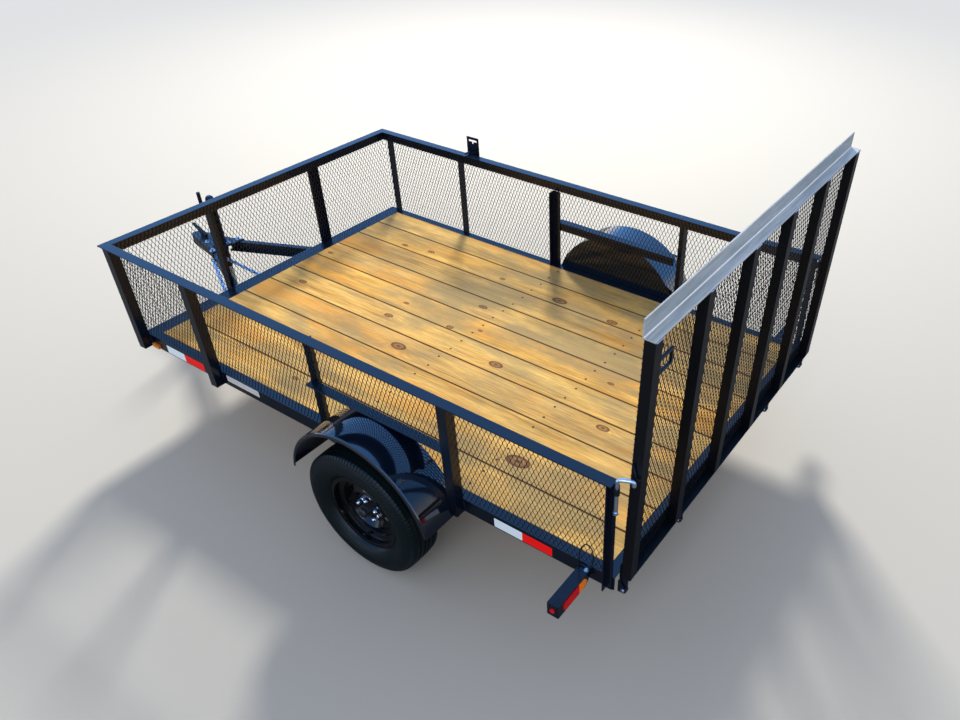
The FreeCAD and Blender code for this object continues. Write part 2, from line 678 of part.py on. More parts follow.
def lattice(width, height):
    """A sheet of expanded metal as a face: a rectangle with rows of diamonds cut out."""
    short = float(s.diamond_width)
    tall = float(s.diamond_height)
    strand = float(s.strand)
    sheet_face = Part.makePlane(width, height)
    half_short = short / 2 - strand * math.hypot(short, tall) / tall / 2
    half_tall = tall / 2 - strand * math.hypot(short, tall) / short / 2
    border = strand
    window = Part.makePlane(width - border * 2, height - border * 2, Vector(border, border, 0))
    holes = []
    columns = int(width / short * 2) + 2
    rows = int(height / tall) + 2
    for column in range(columns):
        across = column * short / 2
        for row in range(rows):
            up = (row + 0.5 * (column % 2)) * tall
            diamond = Part.Face(Part.makePolygon([
                Vector(across - half_short, up, 0),
                Vector(across, up - half_tall, 0),
                Vector(across + half_short, up, 0),
                Vector(across, up + half_tall, 0),
                Vector(across - half_short, up, 0),
            ]))
            inside = across - half_short > border and across + half_short < width - border
            inside = inside and up - half_tall > border and up + half_tall < height - border
            if inside:
                holes.append(diamond.Wires[0])
            else:
                for piece in diamond.common(window).Faces:
                    if piece.Area > strand * strand:
                        holes.append(piece.OuterWire)
    cut = [wire.reversed() for wire in holes]
    return Part.Face([sheet_face.OuterWire] + cut)


def mesh_panel(label, width, height, placement):
    """A panel of expanded metal, its width along the body's X and its height along Y."""
    face = lattice(float(width), float(height))
    face.validate()
    made = doc.addObject("Part::Feature", label)
    made.Label = label
    made.Shape = face.extrude(Vector(0, 0, float(s.mesh_thickness)))
    made.Placement = placement
    return made


def meshes():
    """Expanded metal on three sides, standing on the ledges inside the posts."""
    height = s.top_rail_height - s.steel
    length = s.frame_length - s.top_rail_setback - s.mesh_thickness
    upright = Rotation(Vector(1, 0, 0), 90)
    for side, way in SIDES:
        face = half_width if way > 0 else -mesh_inner
        keep(mesh_panel(f"mesh_{side}", length, height,
                        Placement(at(s.top_rail_setback, face, s.deck_height), upright)))
    across = Rotation(Vector(0, 0, 1), 90).multiply(upright)
    keep(mesh_panel("mesh_front", s.frame_width, height,
                    Placement(at(s.frame_length - s.mesh_thickness, -half_width, s.deck_height), across)))


def fenders():
    """Fenders: a flat back, a round top and a lip turned down at the outer edge."""
    back = s.steel
    reach = s.fender_reach
    outer = s.fender_radius
    steel = s.fender_steel
    bend = s.fender_bend
    for side, way in SIDES:
        made = body(f"fender_{side}", standing(wheel_place - s.fender_back, half_width * way,
                                               s.fender_centre_height))
        thin = bend - steel
        profile = outline(made, "YZ_Plane", [
            (back * way, 0),
            (back * way, outer),
            ((reach - bend) * way, outer),
            ((reach - bend * BEND_CUT) * way, outer - bend * BEND_CUT),
            (reach * way, outer - bend),
            (reach * way, outer - s.fender_lip),
            ((reach - steel) * way, outer - s.fender_lip),
            ((reach - steel) * way, outer - bend),
            ((reach - steel - thin * BEND_CUT) * way, outer - steel - thin * BEND_CUT),
            ((reach - bend) * way, outer - steel),
            ((back + steel) * way, outer - steel),
            ((back + steel) * way, 0),
        ])
        revolve(made, profile, "H_Axis", 180 - 2 * float(s.fender_end_rise), both_ways=True)
        post_at = s.fender_back - s.post_middle_back
        notch = rectangle(post_at, post_at + s.angle_leg + NOTCH_PLAY, 0, (s.angle_leg + NOTCH_PLAY) * way)
        pocket(made, outline(made, "XY_Plane", notch))
        keep(made)


def wheel(side, way):
    """Tyre, rim and hub about one axle line. Y from the tyre's middle, outboard by way."""
    here = standing(wheel_place, wheel_y * way, s.tyre_radius)
    half_rim = s.rim_width / 2
    half_tread = s.tread_width / 2
    half_tyre = s.tyre_width / 2
    shoulder = s.tyre_radius - s.shoulder_drop
    belly = (s.bead_radius + s.tyre_radius) / 2 + s.belly_height
    wall_half = half_tyre + (half_tread - half_tyre) * s.wall_turn
    wall_top = belly + (shoulder - belly) * s.wall_top
    tyre = body(f"tyre_{side}", here)
    revolve(tyre, outline(tyre, "YZ_Plane", [
        (-half_rim, s.bead_radius),
        (half_rim, s.bead_radius),
        (half_rim, s.rim_lip_radius),
        (half_tyre, belly),
        (wall_half, wall_top),
        (half_tread, shoulder),
        (half_tread - s.shoulder_width, s.tyre_radius),
        (s.shoulder_width - half_tread, s.tyre_radius),
        (-half_tread, shoulder),
        (-wall_half, wall_top),
        (-half_tyre, belly),
        (-half_rim, s.rim_lip_radius),
    ]))
    keep(tyre)

    wall = s.rim_steel
    seat = s.bead_radius - s.bead_clearance
    well = s.rim_well_radius
    lip = s.rim_lip_radius
    inboard = s.seat_inboard
    outboard = s.seat_outboard
    slope = s.well_slope
    ease = s.well_ease
    rim = body(f"rim_{side}", here)
    revolve(rim, outline(rim, "YZ_Plane", [
        (-half_rim - wall, lip),
        (-half_rim, lip),
        (-half_rim, seat),
        (-half_rim + inboard, seat),
        (-half_rim + inboard + slope, well),
        (half_rim - outboard - slope, well),
        (half_rim - outboard, seat),
        (half_rim, seat),
        (half_rim, lip),
        (half_rim + wall, lip),
        (half_rim + wall, seat - wall),
        (half_rim - outboard + ease, seat - wall),
        (half_rim - outboard - slope + ease, well - wall),
        (-half_rim + inboard + slope - ease, well - wall),
        (-half_rim + inboard - ease, seat - wall),
        (-half_rim - wall, seat - wall),
    ]))
    steel = s.disc_steel
    face = s.disc_face
    crown = face + s.disc_rise
    flange = face + s.disc_flange_rise
    disc = outline(rim, "YZ_Plane", [
        (face * way, s.hub_bore_radius),
        (face * way, s.disc_dish),
        (crown * way, s.disc_crown_radius),
        (flange * way, s.disc_foot_radius),
        (flange * way, well - wall / 2),
        ((flange + steel) * way, well - wall / 2),
        ((flange + steel) * way, s.disc_foot_radius),
        ((crown + steel) * way, s.disc_crown_radius),
        ((face + steel) * way, s.disc_dish),
        ((face + steel) * way, s.hub_bore_radius),
    ])
    revolve(rim, disc)
    circle = s.bolt_circle / 2
    bolt_hole = pocket(rim, circles(rim, "XZ_Plane", [(0, circle)], s.stud_radius + s.stud_clearance))
    ring_of(rim, bolt_hole, STUDS)
    hole = []
    for corner in range(8):
        turn = math.radians(45 * corner + 22.5)
        hole.append((s.hand_hole_radius * math.cos(turn),
                     s.hand_hole_place + s.hand_hole_radius * math.sin(turn)))
    hand_hole = pocket(rim, outline(rim, "XZ_Plane", hole))
    ring_of(rim, hand_hole, HAND_HOLES)
    keep(rim)

    hub = body(f"hub_{side}", here)
    bore = s.spindle_radius + s.spindle_clearance
    revolve(hub, outline(hub, "YZ_Plane", [
        (-s.hub_back * way, bore),
        (-s.hub_back * way, s.hub_barrel_radius),
        ((face - s.hub_flange) * way, s.hub_barrel_radius),
        ((face - s.hub_flange) * way, s.hub_flange_radius),
        (face * way, s.hub_flange_radius),
        (face * way, s.hub_barrel_radius),
        (s.hub_nose * way, s.hub_barrel_radius - s.hub_taper),
        (s.hub_nose * way, s.cap_radius),
        ((s.cap_reach - s.cap_bevel) * way, s.cap_radius),
        (s.cap_reach * way, s.cap_radius - s.cap_bevel),
        (s.cap_reach * way, 0),
        (s.hub_bore_end * way, 0),
        (s.hub_bore_end * way, bore),
    ]))
    stud = pad(hub, circles(hub, "XZ_Plane", [(0, circle)], s.stud_radius, -face * way),
               steel + s.nut_length, way > 0)
    ring_of(hub, stud, STUDS)
    nut_corners = []
    for corner in range(6):
        turn = math.radians(60 * corner)
        nut_corners.append((s.nut_radius * math.cos(turn), circle + s.nut_radius * math.sin(turn)))
    nut = pad(hub, outline(hub, "XZ_Plane", nut_corners, -(face + steel) * way), s.nut_length, way > 0)
    ring_of(hub, nut, STUDS)
    keep(hub)


def axle():
    """A straight round axle beam with a spindle at each end."""
    beam = body("axle_beam", standing(wheel_place, 0, s.tyre_radius))
    inner = wheel_y - s.hub_back - AXLE_GAP
    tip = wheel_y + s.spindle_end
    revolve(beam, outline(beam, "YZ_Plane", [
        (-tip, 0),
        (-tip, s.spindle_radius),
        (-inner, s.spindle_radius),
        (-inner, s.axle_radius),
        (inner, s.axle_radius),
        (inner, s.spindle_radius),
        (tip, s.spindle_radius),
        (tip, 0),
    ]))
    keep(beam)


def springs():
    """A leaf spring over the axle on each side, hung from the side rail by its eyes."""
    middle_y = half_width - s.steel * 2 - s.spring_clearance - s.spring_width / 2
    seat_top = s.tyre_radius + s.axle_radius + s.spring_seat
    main_low = seat_top + s.leaf * (s.leaf_count - 1)
    half = s.spring_length / 2
    camber = s.spring_camber
    radius = (half * half + camber * camber) / (camber * 2)
    eye_height = main_low + s.leaf + camber
    for side, way in SIDES:
        spring = body(f"leaf_spring_{side}", standing(wheel_place, middle_y * way))
        count = int(float(s.leaf_count))
        for number in range(count):
            low = main_low - s.leaf * number
            reach = half * (1 - s.leaf_step * number)
            low_radius = radius + s.leaf * (number - 1)
            high_radius = radius + s.leaf * number - s.leaf * 2
            drop_low = float(low_radius) - math.sqrt(float(low_radius) ** 2 - float(reach) ** 2)
            drop_high = float(high_radius) - math.sqrt(float(high_radius) ** 2 - float(reach) ** 2)
            pad(spring, outline(spring, "XZ_Plane", [
                (-reach, low + drop_low, low_radius),
                (reach, low + drop_low),
                (reach, low + s.leaf + drop_high, -high_radius),
                (-reach, low + s.leaf + drop_high),
            ]), s.spring_width, both_ways=True)
        ends = [(-half, eye_height), (half, eye_height)]
        pad(spring, circles(spring, "XZ_Plane", ends, s.spring_eye_radius), s.spring_width, both_ways=True)
        pocket(spring, circles(spring, "XZ_Plane", ends, s.spring_bolt_radius + s.spring_clearance))
        plate_half = s.spring_plate_length / 2
        plate = rectangle(-plate_half, plate_half, main_low + s.leaf, main_low + s.leaf + s.spring_plate)
        plate_width = s.spring_width + s.spring_plate_overhang
        pad(spring, outline(spring, "XZ_Plane", plate), plate_width, both_ways=True)
        seat_half = s.spring_seat_length / 2
        seat = rectangle(-seat_half, seat_half, seat_top - s.spring_seat, seat_top + s.spring_seat_bite)
        pad(spring, outline(spring, "XZ_Plane", seat), s.spring_width, both_ways=True)
        keep(spring)
        hangers = []
        for name, place in (("rear", -half), ("front", half)):
            hanger = body(f"spring_hanger_{name}_{side}", standing(wheel_place + place, middle_y * way))
            wide = s.spring_width / 2 + s.spring_clearance
            foot = eye_height - s.hanger_drop
            plates = outline(hanger, "YZ_Plane", [
                (-wide - s.steel, foot),
                (-wide, foot),
                (-wide, rail_bottom - s.steel),
                (wide, rail_bottom - s.steel),
                (wide, foot),
                (wide + s.steel, foot),
                (wide + s.steel, rail_bottom),
                (-wide - s.steel, rail_bottom),
            ])
            pad(hanger, plates, s.hanger_width, both_ways=True)
            bolt = circles(hanger, "XZ_Plane", [(0, eye_height)], s.spring_bolt_radius)
            pad(hanger, bolt, s.spring_width + s.steel * 4, both_ways=True)
            hangers.append(hanger)
        keep(group(f"spring_hangers_{side}", hangers))


def tongue():
    """Two channels that meet at the coupler, open on their inner sides."""
    angle = float(s.tongue_angle)
    run = math.cos(math.radians(angle)) * float(s.tongue_length)
    spread = math.sin(math.radians(angle)) * float(s.tongue_length)
    for side, way in SIDES:
        start = standing(float(s.frame_length + s.tongue_ahead) - run,
                         (float(s.tongue_tip_half) + spread) * way, 0, -angle * way)
        member = body(f"tongue_{side}", start)
        low = rail_bottom - s.rail_depth
        high = rail_bottom
        flange = s.tongue_flange
        wall = s.steel
        pad(member, outline(member, "YZ_Plane", [
            (0, low),
            (0, high),
            (-flange * way, high),
            (-flange * way, high - wall),
            (-wall * way, high - wall),
            (-wall * way, low + wall),
            (-flange * way, low + wall),
            (-flange * way, low),
        ]), s.tongue_length)
        keep(member)


def coupler():
    """A pressed coupler over the tongue's tips, its socket over the hitch ball, and its latch lever."""
    top = rail_bottom + s.coupler_plate
    low = top - s.coupler_depth
    wall = s.coupler_plate
    spread = math.tan(math.radians(float(s.tongue_angle)))
    back = -s.coupler_length
    tip = s.tongue_ahead - s.ball_ahead
    back_half = s.tongue_tip_half + (tip - back) * spread
    neck_half = s.nose_radius - wall
    made = body("coupler", standing(ball_place, 0, low))
    pad(made, outline(made, "XY_Plane", [
        (back, -back_half - wall),
        (tip, -s.tongue_tip_half - wall),
        (0, -s.nose_radius, s.nose_radius),
        (s.nose_radius, 0, s.nose_radius),
        (0, s.nose_radius),
        (tip, s.tongue_tip_half + wall),
        (back, back_half + wall),
    ]), s.coupler_depth)
    pocket(made, outline(made, "XY_Plane", [
        (back - wall, -back_half - wall * spread),
        (tip, -s.tongue_tip_half),
        (-s.nose_radius - wall, wall - neck_half),
        (-s.nose_radius - wall, neck_half - wall),
        (tip, s.tongue_tip_half),
        (back - wall, back_half + wall * spread),
    ]), s.coupler_depth - wall, reversed_way=True)
    jack_hole = [(s.jack_ahead - s.ball_ahead, 0)]
    pocket(made, circles(made, "XY_Plane", jack_hole, s.jack_radius + s.jack_hole_clearance))
    groove = made.newObject("PartDesign::Groove", "Groove")
    groove.Profile = outline(made, "XZ_Plane", [
        (0, 0),
        (s.ball_bore, 0),
        (s.ball_bore, s.ball_height - low, s.ball_bore),
        (0, s.ball_height - low + s.ball_bore),
    ])
    groove.ReferenceAxis = (groove.Profile[0], ["V_Axis"])
    keep(made)

    latch = body("coupler_latch", standing(ball_place, 0, top))
    thick = s.lever_thickness
    pad(latch, outline(latch, "XZ_Plane", [
        (-s.latch_back, 0),
        (-s.latch_front, 0),
        (-s.latch_front, s.latch_rise),
        (s.lever_reach, s.lever_rise - thick),
        (s.lever_reach - thick / 2, s.lever_rise),
        (-s.latch_back + s.latch_rise, s.latch_rise + thick),
        (-s.latch_back, s.latch_rise),
    ]), s.lever_width, both_ways=True)
    keep(latch)


def jack():
    """A jack through the coupler: tube, cap, flange and crank, and the leg that slides in it."""
    seat = rail_bottom + s.coupler_plate
    here = standing(jack_place)
    flange = s.jack_flange
    housing = body("jack_housing", here)
    inner = s.jack_radius - s.jack_wall
    cap_top = s.jack_top + s.jack_cap
    revolve(housing, outline(housing, "XZ_Plane", [
        (inner, s.jack_bottom),
        (s.jack_radius, s.jack_bottom),
        (s.jack_radius, seat),
        (s.foot_radius, seat),
        (s.foot_radius, seat + flange),
        (s.jack_radius, seat + flange),
        (s.jack_radius, s.jack_top),
        (s.jack_radius * 0.85, cap_top - s.jack_cap * 0.3),
        (s.jack_radius * 0.5, cap_top),
        (0, cap_top),
        (0, s.jack_top - s.jack_wall),
        (inner, s.jack_top - s.jack_wall),
    ]), "V_Axis")
    keep(housing)

    leg = body("jack_leg", here)
    leg_radius = inner - s.jack_leg_clearance
    revolve(leg, outline(leg, "XZ_Plane", [
        (0, 0),
        (s.foot_radius, 0),
        (s.foot_radius, s.foot_plate),
        (leg_radius + s.foot_boss, s.foot_plate),
        (leg_radius + s.foot_boss / 3, s.foot_boss_height),
        (leg_radius, s.foot_boss_height),
        (leg_radius, s.jack_leg_top),
        (0, s.jack_leg_top),
    ]), "V_Axis")
    keep(leg)

    crank = body("jack_crank", here)
    shaft = s.crank_radius
    pad(crank, circles(crank, "XZ_Plane", [(0, s.crank_height)], shaft, -s.jack_radius),
        s.crank_reach - s.jack_radius, True)
    grip_foot = s.crank_height - s.grip_radius
    grip = circles(crank, "XY_Plane", [(0, s.crank_reach)], s.grip_radius, grip_foot)
    pad(crank, grip, s.grip_top - grip_foot)
    keep(crank)


def lamps():
    """A steel box with a rear lens beyond each rear corner, and a small marker lamp near the front."""
    top = s.deck_height - s.lamp_drop
    wall = s.lamp_wall
    inset = (s.lamp_length - s.lens_length) / 2
    middle_up = top - s.lamp_height / 2
    for side, way in SIDES:
        box = body(f"lamp_box_{side}", standing(s.lamp_place, half_width * way))
        pad(box, outline(box, "YZ_Plane", [
            (0, top),
            (0, top - s.lamp_height + s.lamp_corner),
            (s.lamp_corner * way, top - s.lamp_height),
            (s.lamp_length * way, top - s.lamp_height),
            (s.lamp_length * way, top),
        ]), s.lamp_depth)
        low = middle_up - s.lens_height / 2
        high = middle_up + s.lens_height / 2
        cut = s.lens_height * 0.3
        recess = [
            (inset * way, low + cut),
            ((inset + cut) * way, low),
            ((s.lamp_length - inset - cut) * way, low),
            ((s.lamp_length - inset) * way, low + cut),
            ((s.lamp_length - inset) * way, high - cut),
            ((s.lamp_length - inset - cut) * way, high),
            ((inset + cut) * way, high),
            (inset * way, high - cut),
        ]
        pocket(box, outline(box, "YZ_Plane", recess), s.lamp_depth - wall, reversed_way=True)
        keep(box)
        lens = body(f"rear_lens_{side}", standing(s.lamp_place - s.lens_stand, half_width * way))
        pad(lens, outline(lens, "YZ_Plane", recess), s.lens_stand + s.lens_depth)
        end_lamp = body(f"end_lamp_{side}", standing(s.lamp_place + s.lamp_depth / 2,
                                                     (half_width + s.lamp_length) * way, middle_up))
        pad(end_lamp, circles(end_lamp, "XZ_Plane", [(0, 0)], s.side_lamp_radius), s.side_lamp_stand, way > 0)
        keep(group(f"lamp_lens_{side}", [lens, end_lamp]))
        marker = body(f"marker_lamp_{side}", standing(post_front - s.marker_back, half_width * way))
        pad(marker, outline(marker, "YZ_Plane", rectangle(
            0, s.marker_depth * way, rail_bottom + s.steel, rail_bottom + s.steel + s.marker_height)),
            s.marker_length)
        keep(marker)


def spare_carrier():
    """A plate with a stud beyond the right upper rail, for a spare wheel."""
    plate = s.spare_plate
    arm = s.spare_arm
    under = rail_top - s.steel
    stand = -half_width - s.spare_stand
    made = body("spare_carrier", standing(s.frame_length - s.spare_back))
    half = s.spare_width / 2
    plate_top = s.deck_height + s.spare_top
    pad(made, outline(made, "YZ_Plane", rectangle(
        stand - plate, stand, plate_top - s.spare_height, plate_top)), s.spare_width, both_ways=True)
    pad(made, outline(made, "YZ_Plane", rectangle(
        stand, -half_width - s.steel, under - arm, under)), arm, both_ways=True)
    slot = s.spare_slot
    slot_up = plate_top - s.spare_slot_drop
    pocket(made, outline(made, "XZ_Plane", [
        (slot - half, slot_up),
        (-slot / 2, slot_up),
        (-slot / 2, slot_up - slot),
        (slot / 2, slot_up - slot),
        (slot / 2, slot_up),
        (half - slot, slot_up),
        (half - slot, slot_up + slot),
        (slot - half, slot_up + slot),
    ]))
    pad(made, circles(made, "XZ_Plane", [(0, plate_top - s.spare_stud_drop)], s.spare_stud_radius, -stand),
        s.spare_stud_length, True)
    keep(made)


def gate():
    """The ramp gate, leaning back on its hinge line: angles, stiles, mesh, tabs and a handle."""
    low = s.gate_bottom - s.hinge_height
    high = low + s.gate_height
    half = gate_half
    width = half * 2
    leg = s.angle_leg
    steel = s.steel
    face = s.hinge_setback - s.gate_gap
    bottom = body("gate_bottom_rail", on_gate(face, half, 0))
    pad(bottom, outline(bottom, "XZ_Plane", [
        (0, low),
        (0, low + s.gate_leg),
        (-steel, low + s.gate_leg),
        (-steel, low + steel),
        (-leg, low + steel),
        (-leg, low),
    ]), width)
    keep(bottom)
    ledge = high - s.gate_leg
    top = body("gate_top_rail", on_gate(face, half, 0))
    pad(top, outline(top, "XZ_Plane", [
        (0, ledge),
        (0, high),
        (-steel, high),
        (-steel, ledge + steel),
        (-leg, ledge + steel),
        (-leg, ledge),
    ]), width)
    keep(top)

    mesh_back = steel + s.mesh_thickness
    depth = leg - mesh_back
    stiles = []
    count = int(float(s.stile_count))
    for number in range(count):
        left = half - (width - leg) / (s.stile_count - 1) * number
        place = on_gate(face - leg, left, low + steel)
        stiles.append(angle_bar(f"gate_stile_{number + 1}", place, "XY_Plane",
                                (0, 0, depth, -leg), ledge - low - steel))
    keep(group("gate_stiles", stiles))

    upright = Rotation(Vector(0, 0, 1), 90).multiply(Rotation(Vector(1, 0, 0), 90))
    place = Placement(Vector(float(face - mesh_back), -float(half), float(low + steel)), upright)
    keep(mesh_panel("gate_mesh", width, ledge - low - steel, hinge.multiply(place)))

    tabs = []
    ears = []
    radius = s.hinge_end_radius
    chamfer = radius * 0.4
    outer = half - s.hinge_inset
    for number, place in enumerate((outer, outer / 2, -outer / 2, -outer)):
        tab = body(f"gate_tab_{number + 1}", on_gate(0, place, 0))
        tab_half = s.hinge_tab / 2
        pad(tab, outline(tab, "XZ_Plane", [
            (radius, -chamfer),
            (radius, low),
            (-radius, low),
            (-radius, -chamfer),
            (-chamfer, -radius),
            (chamfer, -radius),
        ]), s.hinge_tab, both_ways=True)
        pocket(tab, circles(tab, "XZ_Plane", [(0, 0)], s.hinge_pin_radius + s.hinge_clearance))
        tabs.append(tab)
        ear = body(f"hinge_ear_{number + 1}", standing(-s.hinge_setback, place, s.hinge_height))
        gap = tab_half + s.hinge_play
        cheek = [
            (-chamfer, -radius),
            (s.hinge_setback, -radius),
            (s.hinge_setback, s.hinge_ear_rise),
            (s.hinge_setback - s.hinge_ear_seat, s.hinge_ear_rise),
            (-chamfer, radius),
            (-radius, chamfer),
            (-radius, -chamfer),
        ]
        pad(ear, outline(ear, "XZ_Plane", cheek, gap), s.hinge_ear)
        pad(ear, outline(ear, "XZ_Plane", cheek, -gap), s.hinge_ear, True)
        pin = circles(ear, "XZ_Plane", [(0, 0)], s.hinge_pin_radius)
        pad(ear, pin, (gap + s.hinge_ear + s.pin_head) * 2, both_ways=True)
        ears.append(ear)
    keep(group("gate_tabs", tabs))
    keep(group("hinge_ears", ears))

    handle = body("gate_handle", on_gate(face - leg, half - leg, 0))
    rod = s.handle_rod_radius
    reach = s.handle_reach
    high_leg = s.handle_top - s.hinge_height
    low_leg = high_leg - s.handle_height
    pad(handle, outline(handle, "YZ_Plane", [
        (0, low_leg - rod),
        (0, low_leg + rod),
        (rod * 2 - reach, low_leg + rod),
        (rod * 2 - reach, high_leg - rod),
        (0, high_leg - rod),
        (0, high_leg + rod),
        (-reach, high_leg + rod),
        (-reach, low_leg - rod),
    ]), rod * 2)
    keep(handle)

    foot = rail_top + s.latch_arm_rise + s.keeper_rise - s.hinge_height
    ahead = s.keeper_ahead
    top_ahead = ahead + s.keeper_slant
    keepers = []
    for side, way in SIDES:
        keeper = body(f"latch_keeper_{side}", on_gate(face - leg, half * way, 0))
        pad(keeper, outline(keeper, "XZ_Plane", [
            (0, foot - s.keeper_steel),
            (ahead + s.keeper_steel, foot - s.keeper_steel),
            (top_ahead + s.keeper_steel, foot + s.keeper_height),
            (top_ahead, foot + s.keeper_height),
            (ahead, foot),
            (0, foot),
        ]), s.keeper_reach, way > 0)
        keepers.append(keeper)
    keep(group("latch_keepers", keepers))


def latch_rods():
    """A bent rod in the sleeve of each rear corner post, its tip turned down beside the gate's edge."""
    rod = s.latch_rod_radius
    bend = s.latch_bend
    high = rail_top + s.latch_arm_rise
    reach = s.latch_arm_reach
    foot = high - s.latch_length
    points = [(0, foot)]
    for step in range(BEND_RUNS + 1):
        turn = math.radians(90 * step / BEND_RUNS)
        points.append((bend * (math.cos(turn) - 1), high - bend * (1 - math.sin(turn))))
    for step in range(BEND_RUNS + 1):
        turn = math.radians(90 * step / BEND_RUNS)
        points.append((bend * (1 - math.sin(turn)) - reach, high - bend * (1 - math.cos(turn))))
    points.append((-reach, high - bend - s.latch_tip))
    for side, way in SIDES:
        made = body(f"latch_rod_{side}", standing(s.top_rail_setback - rod - s.latch_back_gap,
                                                  (half_width + s.latch_inset) * way, 0,
                                                  float(s.latch_arm_turn) * way))
        spine = sketch_on(made, "XZ_Plane")
        for start, end in zip(points, points[1:]):
            edge = spine.addGeometry(Part.LineSegment(
                Vector(float(start[0]), float(start[1]), 0), Vector(float(end[0]), float(end[1]), 0)))
            if edge:
                spine.addConstraint(Sketcher.Constraint("Coincident", edge, 1, edge - 1, 2))
            else:
                pin_point(spine, edge, 1, *start)
            pin_point(spine, edge, 2, *end)
        doc.recompute()
        pipe = made.newObject("PartDesign::AdditivePipe", "AdditivePipe")
        pipe.Profile = circles(made, "XY_Plane", [(0, 0)], rod, foot)
        pipe.Spine = (spine, [f"Edge{number + 1}" for number in range(len(points) - 1)])
        pipe.Transition = "Right corner"
        pad(made, circles(made, "XY_Plane", [(0, 0)], rod + s.latch_flare, foot), s.latch_flare_height)
        keep(made)


def chain(label, start, end, first_turn):
    """A safety chain of flat links from start to end, each link a quarter turn from the last."""
    wire = s.chain_wire
    length = s.chain_inner + wire * 2
    half = s.chain_width / 2
    run = end.sub(start)
    forward = Vector(run).normalize()
    pitch = float(s.chain_inner - s.chain_play)
    count = int((run.Length - float(length)) / pitch) + 1
    across = Vector(0, 0, 1).cross(forward).normalize()
    steer = Rotation(forward, across, Vector(0, 0, 1), "XYZ")
    rings = [
        # distance in from the link's outer edge, cut of the corner
        (0, half * 0.6),
        (wire, half * 0.6 - wire * 0.6),
    ]
    links = []
    for number in range(count):
        place = start.add(Vector(forward).multiply(pitch * number))
        roll = Rotation(Vector(1, 0, 0), first_turn + 90 * (number % 2))
        link = body(f"{label}_link_{number + 1}", Placement(place, steer.multiply(roll)))
        outer, inner = [outline(link, "XY_Plane", [
            (into + cut, into - half),
            (length - into - cut, into - half),
            (length - into, into + cut - half),
            (length - into, half - into - cut),
            (length - into - cut, half - into),
            (into + cut, half - into),
            (into, half - into - cut),
            (into, into + cut - half),
        ]) for into, cut in rings]
        pad(link, outer, wire, both_ways=True)
        pocket(link, inner)
        links.append(link)
    keep(group(label, links))


def chains():
    """The left chain starts beside its tongue member, the right one beside the jack's tube."""
    angle = math.radians(float(s.tongue_angle))
    half = float(s.chain_width / 2)
    play = float(s.chain_play)
    rear = float(s.frame_length - s.chain_under)
    end_height = float(rail_bottom) - half - play
    front = float(s.frame_length + s.tongue_ahead - s.chain_start)
    member = float(s.tongue_tip_half) + float(s.chain_start) * math.tan(angle)
    start_x = front + (half + play) * math.sin(angle)
    start_y = member + (half + play) * math.cos(angle)
    end_y = start_y + (start_x - rear) * math.tan(math.radians(float(s.chain_turn)))
    chain("safety_chain_left", at(start_x, start_y, s.chain_height), at(rear, end_y, end_height), 0)
    start_y = float(s.jack_radius + s.chain_wire / 2) + play
    chain("safety_chain_right", at(jack_place, start_y, rail_bottom - s.chain_drop - s.chain_width),
          at(rear, s.chain_right_end, end_height), 90)


def build():
    frame()
    floor()
    upper_rails()
    posts()
    guard_rails()
    meshes()
    fenders()
    for side, way in SIDES:
        wheel(side, way)
    axle()
    springs()
    tongue()
    coupler()
    jack()
    lamps()
    spare_carrier()
    gate()
    latch_rods()
    chains()


build()
doc.recompute()

broken = [item.Label for item in doc.Objects if "Invalid" in item.State or "Error" in item.State]
if broken:
    raise RuntimeError("did not build: " + ", ".join(broken))
for node in nodes:
    if node.Shape.isNull() or not node.Shape.isValid():
        raise RuntimeError(f"{node.Label} has no valid shape")
os.makedirs("parts", exist_ok=True)
for node in nodes:
    node.Shape.exportStep(f"parts/{node.Label}.step")
    box = node.Shape.BoundBox
    print(f"{node.Label}: {len(node.Shape.Solids)} solids, {node.Shape.Volume / 1e6:.3f} litres, "
          f"x {box.XMin:.1f} {box.XMax:.1f} y {box.YMin:.1f} {box.YMax:.1f} z {box.ZMin:.1f} {box.ZMax:.1f}")
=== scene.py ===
"""Looks of the utility trailer: materials, fine pieces, light and camera. Metres, in the model's frame."""
import json
import math
import random

import bpy
from mathutils import Matrix, Vector


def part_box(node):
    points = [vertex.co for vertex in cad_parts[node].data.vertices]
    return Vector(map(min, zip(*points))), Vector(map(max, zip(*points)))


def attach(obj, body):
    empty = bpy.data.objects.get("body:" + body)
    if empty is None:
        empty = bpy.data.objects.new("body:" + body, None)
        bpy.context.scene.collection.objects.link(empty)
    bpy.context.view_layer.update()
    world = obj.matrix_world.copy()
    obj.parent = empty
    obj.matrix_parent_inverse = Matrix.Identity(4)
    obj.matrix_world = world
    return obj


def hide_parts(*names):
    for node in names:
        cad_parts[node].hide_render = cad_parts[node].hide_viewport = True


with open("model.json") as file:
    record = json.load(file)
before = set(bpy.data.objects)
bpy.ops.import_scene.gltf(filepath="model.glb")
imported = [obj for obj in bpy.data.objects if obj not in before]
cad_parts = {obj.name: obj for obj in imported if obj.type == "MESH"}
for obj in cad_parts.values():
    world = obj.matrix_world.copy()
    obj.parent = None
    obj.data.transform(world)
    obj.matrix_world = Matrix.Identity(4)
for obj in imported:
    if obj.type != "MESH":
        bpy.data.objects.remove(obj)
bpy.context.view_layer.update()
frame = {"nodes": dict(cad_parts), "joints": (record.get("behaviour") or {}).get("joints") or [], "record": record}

nodes = frame["nodes"]


# Places read from the frame

